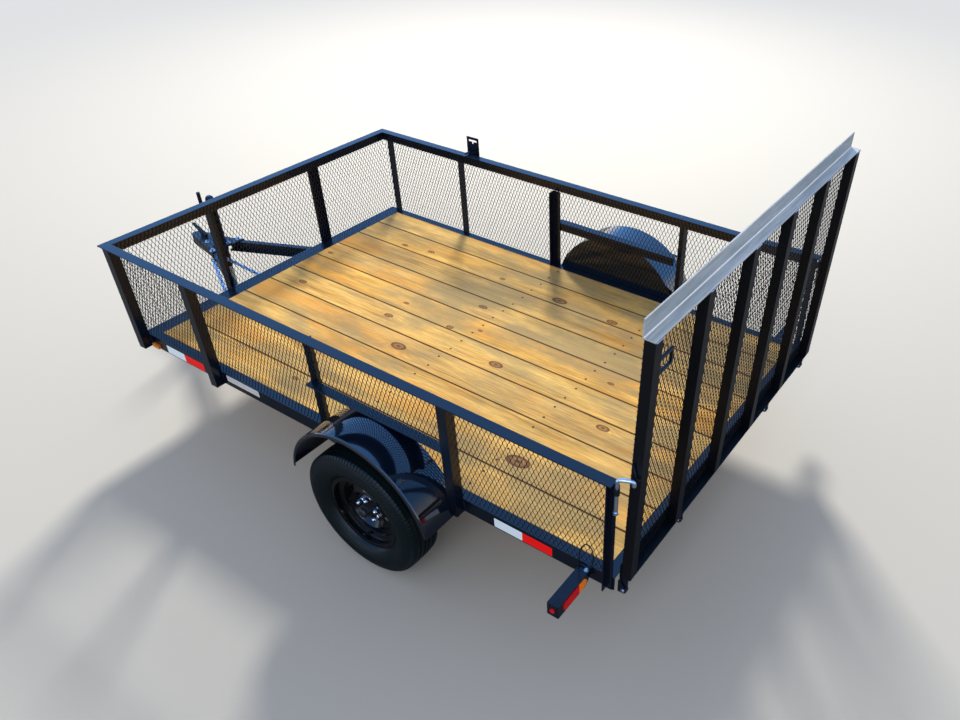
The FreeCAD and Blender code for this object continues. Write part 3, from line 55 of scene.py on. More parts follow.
rail_low, rail_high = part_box("side_rail_left")
rear_face = rail_low.x
front_face = rail_high.x
deck = rail_high.z
rail_bottom = rail_low.z
half_width = rail_high.y
boards_low, boards_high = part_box("floor_boards")
top_rail_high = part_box("top_rail_left")[1]
angle_leg = top_rail_high.y - half_width
tyre_low, tyre_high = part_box("tyre_left")
tyre_radius = (tyre_high.x - tyre_low.x) / 2
wheel_x = (tyre_high.x + tyre_low.x) / 2
wheel_y = (tyre_high.y + tyre_low.y) / 2
wheel_z = tyre_radius
SIDES = [("left", 1), ("right", -1)]
STEEL = 0.005                    # thickness of the angles
GATE_FACE = 0.018                # front face of the gate ahead of its hinge line
GATE_LEG = 0.051                 # leg of the gate's angles
BOARDS = 10
BOARD_GAP = 0.006
board_pitch = (boards_high.y - boards_low.y + BOARD_GAP) / BOARDS

gate_joint = next(joint for joint in frame["joints"] if joint["name"] == "gate_hinge")
gate_hinge = Vector(gate_joint["pos_m"])
GATE_LEAN = math.radians(1.4)
gate_turn = Matrix.Translation(gate_hinge) @ Matrix.Rotation(GATE_LEAN, 4, Vector((0, -1, 0)))


def on_gate(along, across, up):
    """A point of the leaning gate, measured from its hinge line."""
    return gate_turn @ Vector((along, across, up))


# Materials

class Nodes:
    """Builds and joins the nodes of one tree."""

    def __init__(self, tree):
        self.tree = tree

    def add(self, kind, sockets=None, **settings):
        """Adds a node. sockets gives its inputs, each a value or another node's output."""
        node = self.tree.nodes.new(kind)
        for key, value in settings.items():
            setattr(node, key, value)
        for key, value in (sockets or {}).items():
            self.feed(node.inputs[key], value)
        return node

    def feed(self, socket, value):
        if isinstance(value, bpy.types.NodeSocket):
            self.tree.links.new(value, socket)
        else:
            socket.default_value = value

    def math(self, operation, first, second=0.0, third=0.0, clamp=False):
        node = self.add("ShaderNodeMath", {0: first, 1: second, 2: third},
                        operation=operation, use_clamp=clamp)
        return node.outputs[0]

    def scaled(self, place, scale, offset=(0, 0, 0)):
        node = self.add("ShaderNodeMapping", {"Vector": place, "Scale": scale, "Location": offset})
        return node.outputs[0]

    def noise(self, place, scale, detail=3.0, roughness=0.5, distortion=0.0):
        node = self.add("ShaderNodeTexNoise", {"Vector": place, "Scale": scale, "Detail": detail,
                                               "Roughness": roughness, "Distortion": distortion})
        return node.outputs["Fac"]

    def ramp(self, value, stops):
        """stops: (position, grey value or colour)."""
        node = self.add("ShaderNodeValToRGB", {"Fac": value})
        points = node.color_ramp.elements
        while len(points) < len(stops):
            points.new(0.5)
        for point, (position, colour) in zip(points, stops):
            point.position = position
            point.color = (*colour, 1) if isinstance(colour, tuple) else (colour, colour, colour, 1)
        return node.outputs["Color"]

    def mix(self, factor, first, second, blend="MIX"):
        node = self.add("ShaderNodeMix", {"Factor": factor}, data_type="RGBA", blend_type=blend)
        for index, value in ((6, first), (7, second)):
            opaque = isinstance(value, tuple) and len(value) == 3
            self.feed(node.inputs[index], (*value, 1) if opaque else value)
        return node.outputs[2]

    def apart(self, place):
        node = self.add("ShaderNodeSeparateXYZ", {"Vector": place})
        return node.outputs

    def bump(self, height, distance, strength=1.0, below=None):
        sockets = {"Height": height, "Distance": distance, "Strength": strength}
        if below is not None:
            sockets["Normal"] = below
        return self.add("ShaderNodeBump", sockets).outputs["Normal"]


class Shader(Nodes):
    """A material built around one principled shader."""

    def __init__(self, name):
        self.material = bpy.data.materials.new(name)
        self.material.use_nodes = True
        super().__init__(self.material.node_tree)
        self.surface = self.tree.nodes["Principled BSDF"]
        self.place = self.add("ShaderNodeTexCoord").outputs["Object"]

    def set(self, **sockets):
        for key, value in sockets.items():
            self.feed(self.surface.inputs[key.replace("_", " ")], value)


def paint(name, colour, roughness, peel=0.00012, dust=0.05, edge=0.002, coat=0.1, gleam=0.42):
    """Glossy sprayed enamel on rounded edges: faint orange peel, a little dust and a gloss that wanders.

    peel is the height of the orange peel, edge the radius that edges seem to have, coat the clear coat's
    weight and gleam the level of the plain reflection.
    """
    shader = Shader(name)
    dusty = shader.ramp(shader.noise(shader.place, 4, 6, 0.62), [(0.5, 0.0), (0.85, 1.0)])
    speck = shader.ramp(shader.noise(shader.place, 150, 3, 0.7), [(0.58, 0.0), (0.78, 1.0)])
    film = shader.math("MULTIPLY", shader.mix(0.5, dusty, speck), dust)
    gloss = shader.math("MULTIPLY_ADD", shader.noise(shader.place, 12, 4, 0.6), 0.14, roughness - 0.07)
    rounded = shader.add("ShaderNodeBevel", {"Radius": edge}, samples=6).outputs[0]
    surface = shader.bump(shader.noise(shader.place, 420, 2, 0.5), peel, below=rounded)
    shader.set(Base_Color=shader.mix(film, colour, (0.20, 0.19, 0.17)),
               Roughness=shader.math("ADD", gloss, shader.math("MULTIPLY", film, 0.3)),
               Normal=surface, Coat_Weight=coat, Coat_Roughness=0.04, Specular_IOR_Level=gleam)
    return shader.material


def metal(name, colour, roughness, grain=(60, 60, 600), streak=0.2):
    """Bare or plated metal with fine grain and spangle."""
    shader = Shader(name)
    grained = shader.noise(shader.scaled(shader.place, grain), 1.0, 4, 0.6)
    cells = shader.add("ShaderNodeTexVoronoi", {"Vector": shader.place, "Scale": 160.0})
    spangle = shader.mix(cells.outputs["Color"], (0.35, 0.36, 0.38), (0.95, 0.95, 0.96))
    shader.set(Base_Color=shader.mix(streak, colour, spangle), Metallic=1.0,
               Normal=shader.bump(grained, 0.0002),
               Roughness=shader.math("MULTIPLY_ADD", grained, 0.25, roughness - 0.1))
    return shader.material


def silvered_sheen(name):
    """Silvery colour of the gate's upper rail, partly a painted sheen of the sun on its black paint and partly a
    lighter finish: cloudy and streaked along it, with pale specks.
    """
    shader = Shader(name)
    cloud = shader.noise(shader.scaled(shader.place, (6, 1.6, 6)), 1.0, 5, 0.6)
    streak = shader.noise(shader.scaled(shader.place, (160, 5, 160)), 1.0, 4, 0.6)
    tone = shader.math("MULTIPLY_ADD", streak, 0.5, shader.math("MULTIPLY", cloud, 0.7))
    pale_specks = shader.ramp(shader.noise(shader.place, 60, 5, 0.75), [(0.62, 0.0), (0.72, 1.0)])
    colour = shader.ramp(tone, [(0.38, (0.26, 0.30, 0.33)), (0.60, (0.44, 0.49, 0.52)),
                                (0.8, (0.68, 0.72, 0.75))])
    shader.set(Base_Color=shader.mix(shader.math("MULTIPLY", pale_specks, 0.4), colour, (0.75, 0.78, 0.80)),
               Metallic=0.1, Roughness=shader.math("MULTIPLY_ADD", cloud, 0.2, 0.30),
               Specular_IOR_Level=0.35, Normal=shader.bump(streak, 0.00015))
    return shader.material


KNOTS = [
    # ahead of the boards' rear ends, across from the right board's edge, radius
    (0.49, 1.19, 0.022),
    (0.65, 0.86, 0.012),
    (0.69, 1.62, 0.038),
    (0.96, 0.35, 0.021),
    (1.26, 1.07, 0.026),
    (1.35, 0.33, 0.030),
    (1.54, 0.86, 0.010),
    (1.69, 0.65, 0.018),
    (1.71, 0.93, 0.015),
    (1.80, 0.32, 0.012),
    (1.82, 1.24, 0.030),
    (2.06, 1.77, 0.014),
    (2.09, 1.04, 0.018),
    (2.10, 0.88, 0.012),
    (2.41, 0.31, 0.016),
    (2.62, 0.34, 0.014),
    (2.81, 1.06, 0.018),
    (2.95, 0.70, 0.012),
]


KNOT_STRETCH = 0.55              # knots are longer than wide by the inverse of this
RING_PHASE = 250.0               # radians to the metre across the grain


def knots(shader, x, y):
    """How far the grain is pushed aside by the knots, how deep in a knot a point is, and how near to one."""
    swirl = eye = halo = None
    for along, across, radius in KNOTS:
        dx = shader.math("MULTIPLY", shader.math("SUBTRACT", x, boards_low.x + along), KNOT_STRETCH)
        dy = shader.math("SUBTRACT", y, boards_low.y + across)
        square = shader.math("ADD", shader.math("MULTIPLY", dx, dx), shader.math("MULTIPLY", dy, dy))
        length = shader.math("POWER", square, 0.5)
        around = shader.math("EXPONENT", shader.math("MULTIPLY", length, -1 / (radius * 1.4)))
        push = shader.math("MULTIPLY", around, radius * 5)
        core = shader.math("SUBTRACT", 1.0, shader.math("DIVIDE", length, radius), clamp=True)
        swirl = push if swirl is None else shader.math("ADD", swirl, push)
        eye = core if eye is None else shader.math("MAXIMUM", eye, core)
        halo = around if halo is None else shader.math("MAXIMUM", halo, around)
    return swirl, eye, halo


def pine():
    """Treated pine boards: each has its own tone, grain that flows round the knots, stains and weathering."""
    shader = Shader("pine_boards")
    x, y, _ = shader.apart(shader.place)
    run = shader.math("DIVIDE", shader.math("SUBTRACT", y, boards_low.y), board_pitch)
    row = shader.math("FLOOR", run)
    chance = shader.add("ShaderNodeTexWhiteNoise", {"W": row}, noise_dimensions="1D")
    shift = shader.add("ShaderNodeVectorMath", {0: chance.outputs["Color"], 1: (37.0, 19.0, 11.0)},
                       operation="MULTIPLY").outputs[0]
    own = shader.add("ShaderNodeVectorMath", {0: shader.place, 1: shift}, operation="ADD").outputs[0]

    def patches(place, scale, offset, detail, roughness, start, full, most):
        """A soft-edged mask of stretched spots, which starts and is full at two levels of the noise."""
        spots = shader.noise(shader.scaled(place, scale, offset), 1.0, detail, roughness)
        return shader.ramp(spots, [(start, 0.0), (full, most)])

    swirl, eye, halo = knots(shader, x, y)
    own_y = shader.apart(own)[1]
    wander = shader.noise(shader.scaled(own, (0.8, 2.4, 2.4)), 1.0, 3, 0.5)
    rings = shader.math("ADD", shader.math("MULTIPLY_ADD", wander, 0.30, own_y), swirl)
    uneven = shader.noise(shader.scaled(own, (0.5, 9.0, 9.0)), 1.0, 2, 0.5)
    turns = shader.math("MULTIPLY", rings, RING_PHASE)
    wave = shader.math("SINE", shader.math("MULTIPLY_ADD", uneven, 9.0, turns))
    band = shader.math("MULTIPLY_ADD", wave, 0.5, 0.5)
    shown = shader.ramp(shader.noise(shader.scaled(own, (0.9, 3.5, 3.5), (5.0, 2.0, 0.0)), 1.0, 3, 0.5),
                        [(0.42, 0.10), (0.68, 0.55)])
    drawn = shader.math("ADD", shown, shader.math("MULTIPLY", halo, 0.7), clamp=True)
    fine = shader.noise(shader.scaled(own, (4.0, 150.0, 150.0)), 1.0, 5, 0.65)
    broad = shader.noise(shader.scaled(own, (1.6, 13.0, 13.0)), 1.0, 4, 0.6)
    grain = shader.math("ADD", shader.math("MULTIPLY", fine, 0.50), shader.math("MULTIPLY", broad, 0.60))
    tone = shader.ramp(chance.outputs["Value"], [(0.0, (0.80, 0.48, 0.125)), (0.35, (0.87, 0.58, 0.185)),
                                                 (0.7, (0.78, 0.50, 0.165)), (1.0, (0.70, 0.46, 0.165))])
    streak = shader.ramp(grain, [(0.40, (0.46, 0.38, 0.27)), (0.54, (0.90, 0.87, 0.80)),
                                 (0.68, (1.22, 1.22, 1.20))])
    sawn = shader.mix(1.0, tone, streak, "MULTIPLY")
    ringed = shader.mix(shader.math("MULTIPLY", shader.math("MULTIPLY", band, drawn), 0.75), sawn,
                        (0.52, 0.22, 0.050))
    amber = patches(own, (1.3, 5.0, 5.0), (1.0, 7.0, 0.0), 4, 0.6, 0.50, 0.66, 0.65)
    honeyed = shader.mix(amber, ringed, (0.74, 0.33, 0.050))
    olive = patches(shader.place, (1.3, 2.8, 1.0), (3.4, 0.9, 0.0), 5, 0.62, 0.45, 0.60, 0.70)
    ashen = patches(own, (1.5, 6.0, 6.0), (9.0, 3.0, 0.0), 5, 0.65, 0.50, 0.66, 0.60)
    weathered = shader.mix(shader.math("MAXIMUM", olive, ashen), honeyed, (0.29, 0.235, 0.125))
    mark = patches(shader.place, (7.0, 22.0, 1.0), (2.0, 5.0, 0.0), 4, 0.7, 0.66, 0.78, 0.5)
    marked = shader.mix(mark, weathered, (0.22, 0.15, 0.075))
    dark_eye = shader.ramp(eye, [(0.0, 0.0), (0.10, 0.95), (0.36, 0.70), (0.60, 0.40), (0.82, 0.85),
                                 (1.0, 1.0)])
    knotted = shader.mix(dark_eye, marked, (0.115, 0.034, 0.012))
    # Board edges darker: painted shade on their rounded arrises.
    side = shader.math("ABSOLUTE", shader.math("SUBTRACT", shader.math("FRACT", run), 0.485))
    arris_shade = shader.ramp(side, [(0.450, 0.0), (0.485, 0.85)])
    arris_shaded = shader.mix(arris_shade, knotted, (0.12, 0.060, 0.025))
    height = shader.math("ADD", shader.math("MULTIPLY", fine, 0.7), shader.math("MULTIPLY", band, 0.3))
    shader.set(Base_Color=arris_shaded, Roughness=shader.math("MULTIPLY_ADD", fine, 0.2, 0.50),
               Normal=shader.bump(height, 0.0006), Specular_IOR_Level=0.3)
    return shader.material


def rubber():
    """Tyre rubber with a fine grain, a little dust and a blue-green tint in its black that is a painted sheen."""
    shader = Shader("tyre_rubber")
    grainy = shader.noise(shader.place, 900, 3, 0.6)
    dirt = shader.ramp(shader.noise(shader.place, 9, 5, 0.6), [(0.5, 0.0), (0.8, 1.0)])
    dusty = shader.math("MULTIPLY", dirt, 0.06)
    shader.set(Base_Color=shader.mix(dusty, (0.0040, 0.0092, 0.0105), (0.05, 0.046, 0.04)),
               Roughness=shader.math("MULTIPLY_ADD", dirt, 0.18, 0.36),
               Normal=shader.bump(grainy, 0.00015), Specular_IOR_Level=0.24)
    return shader.material


def plastic(name, colour, roughness=0.2, ribs=None, light=0.0, inner=None):
    """Moulded plastic. ribs counts the ribs to the metre, and light is the strength of a painted glow in the
    plastic's own colour.

    inner is a pair: the distance from the centre line up to which the inner colour goes, and that colour.
    """
    shader = Shader(name)
    grain = shader.noise(shader.place, 300, 2, 0.5)
    normal = shader.bump(grain, 0.0001)
    if ribs:
        _, y, z = shader.apart(shader.place)
        wave = shader.math("SINE", shader.math("MULTIPLY", y, ribs * 2 * math.pi))
        cross = shader.math("SINE", shader.math("MULTIPLY", z, ribs * 2 * math.pi))
        normal = shader.bump(shader.math("MULTIPLY", wave, cross), 0.0009, 0.8, normal)
    cloud = shader.noise(shader.place, 40, 3, 0.5)
    tone = shader.mix(cloud, colour, tuple(value * 0.72 for value in colour))
    if inner:
        outward = shader.math("ABSOLUTE", shader.apart(shader.place)[1])
        end, inner_colour = inner
        tone = shader.mix(shader.math("GREATER_THAN", outward, end), inner_colour, tone)
    shader.set(Base_Color=tone, Roughness=roughness, Normal=normal, Coat_Weight=0.05,
               Coat_Roughness=0.05, Specular_IOR_Level=0.3)
    if light:
        shader.set(Emission_Color=tone, Emission_Strength=light)
    return shader.material


def tape(name, colour):
    """Reflective tape: a fine honeycomb, and a painted glow in its own colour that stands in for the light it
    throws back.
    """
    shader = Shader(name)
    cells = shader.add("ShaderNodeTexVoronoi", {"Vector": shader.place, "Scale": 260.0},
                       feature="DISTANCE_TO_EDGE").outputs["Distance"]
    comb = shader.ramp(cells, [(0.02, 0.0), (0.08, 1.0)])
    shader.set(Base_Color=shader.mix(comb, tuple(value * 0.8 for value in colour), colour),
               Roughness=0.45, Specular_IOR_Level=0.2,
               Emission_Color=(*colour, 1), Emission_Strength=0.25, Normal=shader.bump(comb, 0.0001))
    return shader.material


# The blue in this black is a painted sky reflection, so that up-facing paint reads navy.
SKY_TINTED_BLACK = (0.0022, 0.0052, 0.0125)
frame_paint = paint("frame_paint", SKY_TINTED_BLACK, 0.22)
gate_paint = paint("gate_paint", (0.0026, 0.0034, 0.0050), 0.38, dust=0.04, coat=0.0, gleam=0.26)
fender_paint = paint("fender_paint", SKY_TINTED_BLACK, 0.07, peel=0.00004, dust=0.015, edge=0.004, coat=0.9, gleam=0.6)
mesh_paint = paint("mesh_paint", (0.0028, 0.0034, 0.0046), 0.34, edge=0.0006, coat=0.0, gleam=0.35)
wheel_paint = paint("wheel_paint", (0.0022, 0.0024, 0.0028), 0.20, peel=0.00006, dust=0.01, gleam=0.38)
gate_top_sheen = silvered_sheen("gate_top_sheen")
gear_paint = paint("gear_paint", (0.012, 0.012, 0.013), 0.45, dust=0.2, coat=0.1)
wood = pine()
tyre_rubber = rubber()
zinc = metal("zinc", (0.66, 0.72, 0.80), 0.33)
# Glowing white plastic that paints highlights onto the gate's edges.
edge_highlight_paint = plastic("edge_highlight_paint", (0.92, 0.94, 0.97), 0.3, light=0.25)
chrome = metal("chrome", (0.8, 0.8, 0.82), 0.12, streak=0.03)
LENS_AMBER_END = 1.094           # from the centre line to where the lens turns from amber to red
# The lenses' glow (light) is painted light; the lamps are not lit.
red_lens = plastic("red_lens", (0.60, 0.002, 0.004), ribs=150, light=0.22,
                   inner=(LENS_AMBER_END, (0.80, 0.20, 0.01)))
amber_lens = plastic("amber_lens", (0.85, 0.24, 0.01), ribs=170, light=0.05)
red_tape = tape("red_tape", (0.80, 0.004, 0.004))
# The white tape's blue tint is painted sky light.
white_tape = tape("white_tape", (0.62, 0.73, 0.84))
label_white = plastic("label_white", (0.8, 0.81, 0.83), 0.35)
dark_rubber = plastic("dark_rubber", (0.012, 0.012, 0.012), 0.5)
screw_steel = metal("screw_steel", (0.045, 0.032, 0.022), 0.6, streak=0.03)

PAINTS = {
    "frame_paint": frame_paint,
    "mesh_paint": mesh_paint,
    "boards": wood,
    "tyre": tyre_rubber,
    "wheel_paint": wheel_paint,
    "hub_steel": gear_paint,
    "running_gear": gear_paint,
    "red_lens": red_lens,
    "amber_lens": amber_lens,
    "galvanised": zinc,
    "jack_leg_steel": zinc,
}
for part in frame["record"]["subparts"]:
    nodes[part["node"]].data.materials.clear()
    nodes[part["node"]].data.materials.append(PAINTS[part["material_slot"]])
for side, way in SIDES:
    nodes[f"fender_{side}"].data.materials[0] = fender_paint
nodes["gate_top_rail"].data.materials[0] = gate_top_sheen
for name in ("gate_bottom_rail", "gate_stiles"):
    nodes[name].data.materials[0] = gate_paint


# Mesh helpers

def piece(name, verts, faces, material, body, smooth=False):
    """A mesh that rides on a body and takes the given material."""
    mesh = bpy.data.meshes.new(name)
    mesh.from_pydata([tuple(vert) for vert in verts], [], [tuple(face) for face in faces])
    mesh.update()
    if smooth:
        mesh.shade_smooth()
    made = bpy.data.objects.new(name, mesh)
    bpy.context.scene.collection.objects.link(made)
    made.data.materials.append(material)
    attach(made, body)
    return made


class Heap:
    """Many small shapes gathered into one mesh."""

    def __init__(self):
        self.verts = []
        self.faces = []

    def put(self, verts, faces, place=Matrix()):
        start = len(self.verts)
        self.verts.extend(place @ Vector(vert) for vert in verts)
        self.faces.extend(tuple(start + index for index in face) for face in faces)

    def turned(self, profile, count, place=Matrix()):
        """Turns (radius, height) points about the local Z axis. A radius of 0 closes an end."""
        verts = []
        rings = []
        for radius, height in profile:
            if radius == 0:
                rings.append([len(verts)])
                verts.append((0, 0, height))
                continue
            rings.append(list(range(len(verts), len(verts) + count)))
            for step in range(count):
                angle = 2 * math.pi * step / count
                verts.append((radius * math.cos(angle), radius * math.sin(angle), height))
        faces = []
        for lower, upper in zip(rings, rings[1:]):
            for step in range(count):
                after = (step + 1) % count
                if len(lower) == 1:
                    faces.append((lower[0], upper[after], upper[step]))
                elif len(upper) == 1:
                    faces.append((lower[step], lower[after], upper[0]))
                else:
                    faces.append((lower[step], lower[after], upper[after], upper[step]))
        self.put(verts, faces, place)

    def bolt(self, place, outward, across, washer=True):
        """A hex head, or a nut on its stud's end, with a washer under it."""
        seat = facing(outward, place)
        height = across * 0.62
        radius = across / math.sqrt(3)
        lift = across * 0.12 if washer else 0.0
        if washer:
            self.turned([(0, 0), (across * 0.95, 0), (across * 0.95, lift), (0, lift)], 20, seat)
        self.turned([(0, lift), (radius, lift), (radius, lift + height * 0.8), (radius * 0.84, lift + height),
                     (0, lift + height)], 6, seat)
        self.turned([(0, lift), (across * 0.3, lift), (across * 0.3, lift + height * 1.25),
                     (0, lift + height * 1.3)], 12, seat)

    def rod(self, points, radius, count=12):
        """A round rod along points, closed at both ends."""
        points = [Vector(point) for point in points]
        tangent = (points[1] - points[0]).normalized()
        side = tangent.orthogonal().normalized()
        rings = []
        verts = []
        for number, point in enumerate(points):
            before = points[max(number - 1, 0)]
            after = points[min(number + 1, len(points) - 1)]
            tangent = (after - before).normalized()
            side = (side - tangent * side.dot(tangent)).normalized()
            other = tangent.cross(side)
            rings.append(len(verts))
            for step in range(count):
                angle = 2 * math.pi * step / count
                verts.append(point + (side * math.cos(angle) + other * math.sin(angle)) * radius)
        faces = [tuple(reversed(range(count))), tuple(range(rings[-1], rings[-1] + count))]
        for lower, upper in zip(rings, rings[1:]):
            for step in range(count):
                after = (step + 1) % count
                faces.append((lower + step, lower + after, upper + after, upper + step))
        self.put(verts, faces)

    def weld(self, start, end, outward, width=0.006):
        """A bead of overlapping scales from start to end."""
        start, end = Vector(start), Vector(end)
        count = max(2, int((end - start).length / (width * 0.55)))
        along = (end - start).normalized()
        outward = (Vector(outward) - along * along.dot(Vector(outward))).normalized()
        frame_of = Matrix((along, along.cross(outward) * -1, outward)).transposed().to_4x4()
        for number in range(count + 1):
            place = start.lerp(end, number / count) + along * random.uniform(-0.0006, 0.0006)
            size = width * random.uniform(0.44, 0.56)
            scale = Matrix.Diagonal((size * 0.75, size, size * 0.62, 1))
            self.turned([(0, -0.3), (0.95, -0.3), (1.0, 0.0), (0.74, 0.62), (0, 0.85)], 8,
                        Matrix.Translation(place) @ frame_of @ scale)

    def make(self, name, material, body, smooth=False, sharp=None):
        made = piece(name, self.verts, self.faces, material, body, smooth)
        if sharp is not None:
            made.data.shade_smooth()
            made.data.set_sharp_from_angle(angle=math.radians(sharp))
        return made


def facing(direction, place):
    """A matrix whose Z axis points along direction, at place."""
    return Matrix.Translation(place) @ Vector(direction).to_track_quat("Z", "Y").to_matrix().to_4x4()


# Expanded metal at its real pitch

SHORT_WAY = 0.02344              # from one diamond to the next along the sheet
LONG_WAY = 0.0508                # and up the sheet
STRAND = 0.0026
STRAND_DEPTH = 0.0019
STRAND_TILT = 0.0006
BOND = 0.0042                    # half the height of a bond, where two strands meet
BOND_HALF_WIDTH = STRAND * 0.82
BOND_TAPER = 0.75
BOND_OVERLAP = 0.8
SHORTEST = 0.08                  # share of a strand that is worth keeping at the sheet's edge


def expanded(name, width, height, place, body):
    """Expanded metal: bonds on a rhombic lattice and tilted strands between them, cut at the sheet's edge."""
    depth = STRAND_DEPTH / 2
    heap = Heap()
    verts = []
    faces = []
    columns = int(width / SHORT_WAY * 2) + 2
    rows = int(height / LONG_WAY * 2) + 2
    rim = STRAND / 2
    side_quads = [(0, 1, 5, 4), (1, 2, 6, 5), (2, 3, 7, 6), (3, 0, 4, 7)]
    for column in range(-1, columns):
        for row in range(-1, rows):
            if (column + row) % 2:
                continue
            u = column * SHORT_WAY / 2
            v = row * LONG_WAY / 2
            if rim < u < width - rim and rim < v < height - rim:
                low = max(v - BOND, 0)
                high = min(v + BOND, height)
                narrow = BOND_HALF_WIDTH * BOND_TAPER
                start = len(verts)
                for level, wide in ((low, narrow), (v, BOND_HALF_WIDTH), (high, narrow)):
                    verts += [(u - wide, level, -depth), (u + wide, level, -depth),
                              (u + wide, level, depth), (u - wide, level, depth)]
                for ring in (0, 4):
                    faces += [tuple(start + ring + index for index in quad) for quad in side_quads]
            for step in (-1, 1):
                ends = [(u, v + BOND * BOND_OVERLAP),
                        (u + step * SHORT_WAY / 2, v + LONG_WAY / 2 - BOND * BOND_OVERLAP)]
                low_t, high_t = 0.0, 1.0
                for axis, limit in ((0, width), (1, height)):
                    run = ends[1][axis] - ends[0][axis]
                    first = (rim - ends[0][axis]) / run
                    last = (limit - rim - ends[0][axis]) / run
                    if first > last:
                        first, last = last, first
                    low_t, high_t = max(low_t, first), min(high_t, last)
                if high_t - low_t < SHORTEST:
                    continue
                start = len(verts)
                tilt = STRAND_TILT * step
                slope = math.hypot(SHORT_WAY / 2, LONG_WAY / 2) / (LONG_WAY / 2)
                half = STRAND / 2 * slope
                for t in (low_t, high_t):
                    cu = ends[0][0] + (ends[1][0] - ends[0][0]) * t
                    cv = ends[0][1] + (ends[1][1] - ends[0][1]) * t
                    verts += [(cu - half, cv, -depth - tilt), (cu + half, cv, -depth + tilt),
                              (cu + half, cv, depth + tilt), (cu - half, cv, depth - tilt)]
                faces += [tuple(start + index for index in quad) for quad in side_quads]
    heap.put(verts, faces, place)
    return heap.make(name, mesh_paint, body)


upright = Matrix.Rotation(math.radians(90), 4, "X")
crosswise = Matrix.Rotation(math.radians(90), 4, "Z") @ upright
for side, way in SIDES:
    low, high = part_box(f"mesh_{side}")
    sheet = expanded(f"expanded_metal_{side}", high.x - low.x, high.z - low.z,
                     Matrix.Translation((low.x, (low.y + high.y) / 2, low.z)) @ upright, "root")
    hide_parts(f"mesh_{side}")
low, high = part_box("mesh_front")
sheet = expanded("expanded_metal_front", high.y - low.y, high.z - low.z,
                 Matrix.Translation(((low.x + high.x) / 2, low.y, low.z)) @ crosswise, "root")
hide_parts("mesh_front")
GATE_MESH_BACK = GATE_FACE - STEEL - 0.0015
GATE_MESH_LOW = 0.094            # above the hinge line, along the gate
GATE_MESH_HEIGHT = 1.175
gate_low, gate_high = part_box("gate_mesh")
gate_width = gate_high.y - gate_low.y
sheet = expanded("expanded_metal_gate", gate_width, GATE_MESH_HEIGHT,
                 gate_turn @ Matrix.Translation((GATE_MESH_BACK, -gate_width / 2, GATE_MESH_LOW)) @ crosswise,
                 "gate")
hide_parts("gate_mesh")


# Tyres

HALF_TREAD = 0.080
CROWN_EDGE = HALF_TREAD - 0.013  # where the crown turns into the shoulder
CROWN_FALL = 0.003               # of the crown at that place
SHOULDER_FALL = 0.009
SHOULDER_BEND = 0.014
WALL_BEND = 0.120
LOWER_BEND = 0.090
BEAD = (0.0635, 0.191)           # half width and radius at the bead
FOOT_RADIUS = 0.208              # where the side wall meets the bead
GROOVE_DEPTH = 0.0055
BLOCK_DEPTH = 0.004
BLOCK_LAG = 0.35                 # slant of the shoulder cuts, in pitches
PITCHES = 110
PITCH_STEPS = [(0.0, 0), (0.70, 0), (0.75, 1), (0.95, 1)]
# Breaks of the tread's section from the crown outward; grooves run between the pairs listed after it.
TREAD_BREAKS = [0.0085, 0.0090, 0.0155, 0.0160, 0.0385, 0.0390, 0.0455, 0.0460, 0.0600, 0.0665]
GROOVE_BREAKS = (1, 2, 5, 6)
BLOCK_BREAKS = 8                 # breaks from here on belong to the shoulder blocks


def arc(start, end, bend, count):
    """Points after start up to end along an arc; a positive bend turns left on the way."""
    start, end = Vector(start), Vector(end)
    radius = abs(bend)
    chord = end - start
    rise = math.sqrt(max(radius ** 2 - (chord.length / 2) ** 2, 0))
    normal = Vector((-chord.y, chord.x)).normalized() * (1 if bend > 0 else -1)
    centre = (start + end) / 2 + normal * rise
    first = math.atan2(start.y - centre.y, start.x - centre.x)
    turn = math.asin(min(1, chord.length / 2 / radius)) * 2 * (1 if bend > 0 else -1)
    return [(centre.x + radius * math.cos(first + turn * step / count),
             centre.y + radius * math.sin(first + turn * step / count)) for step in range(1, count + 1)]


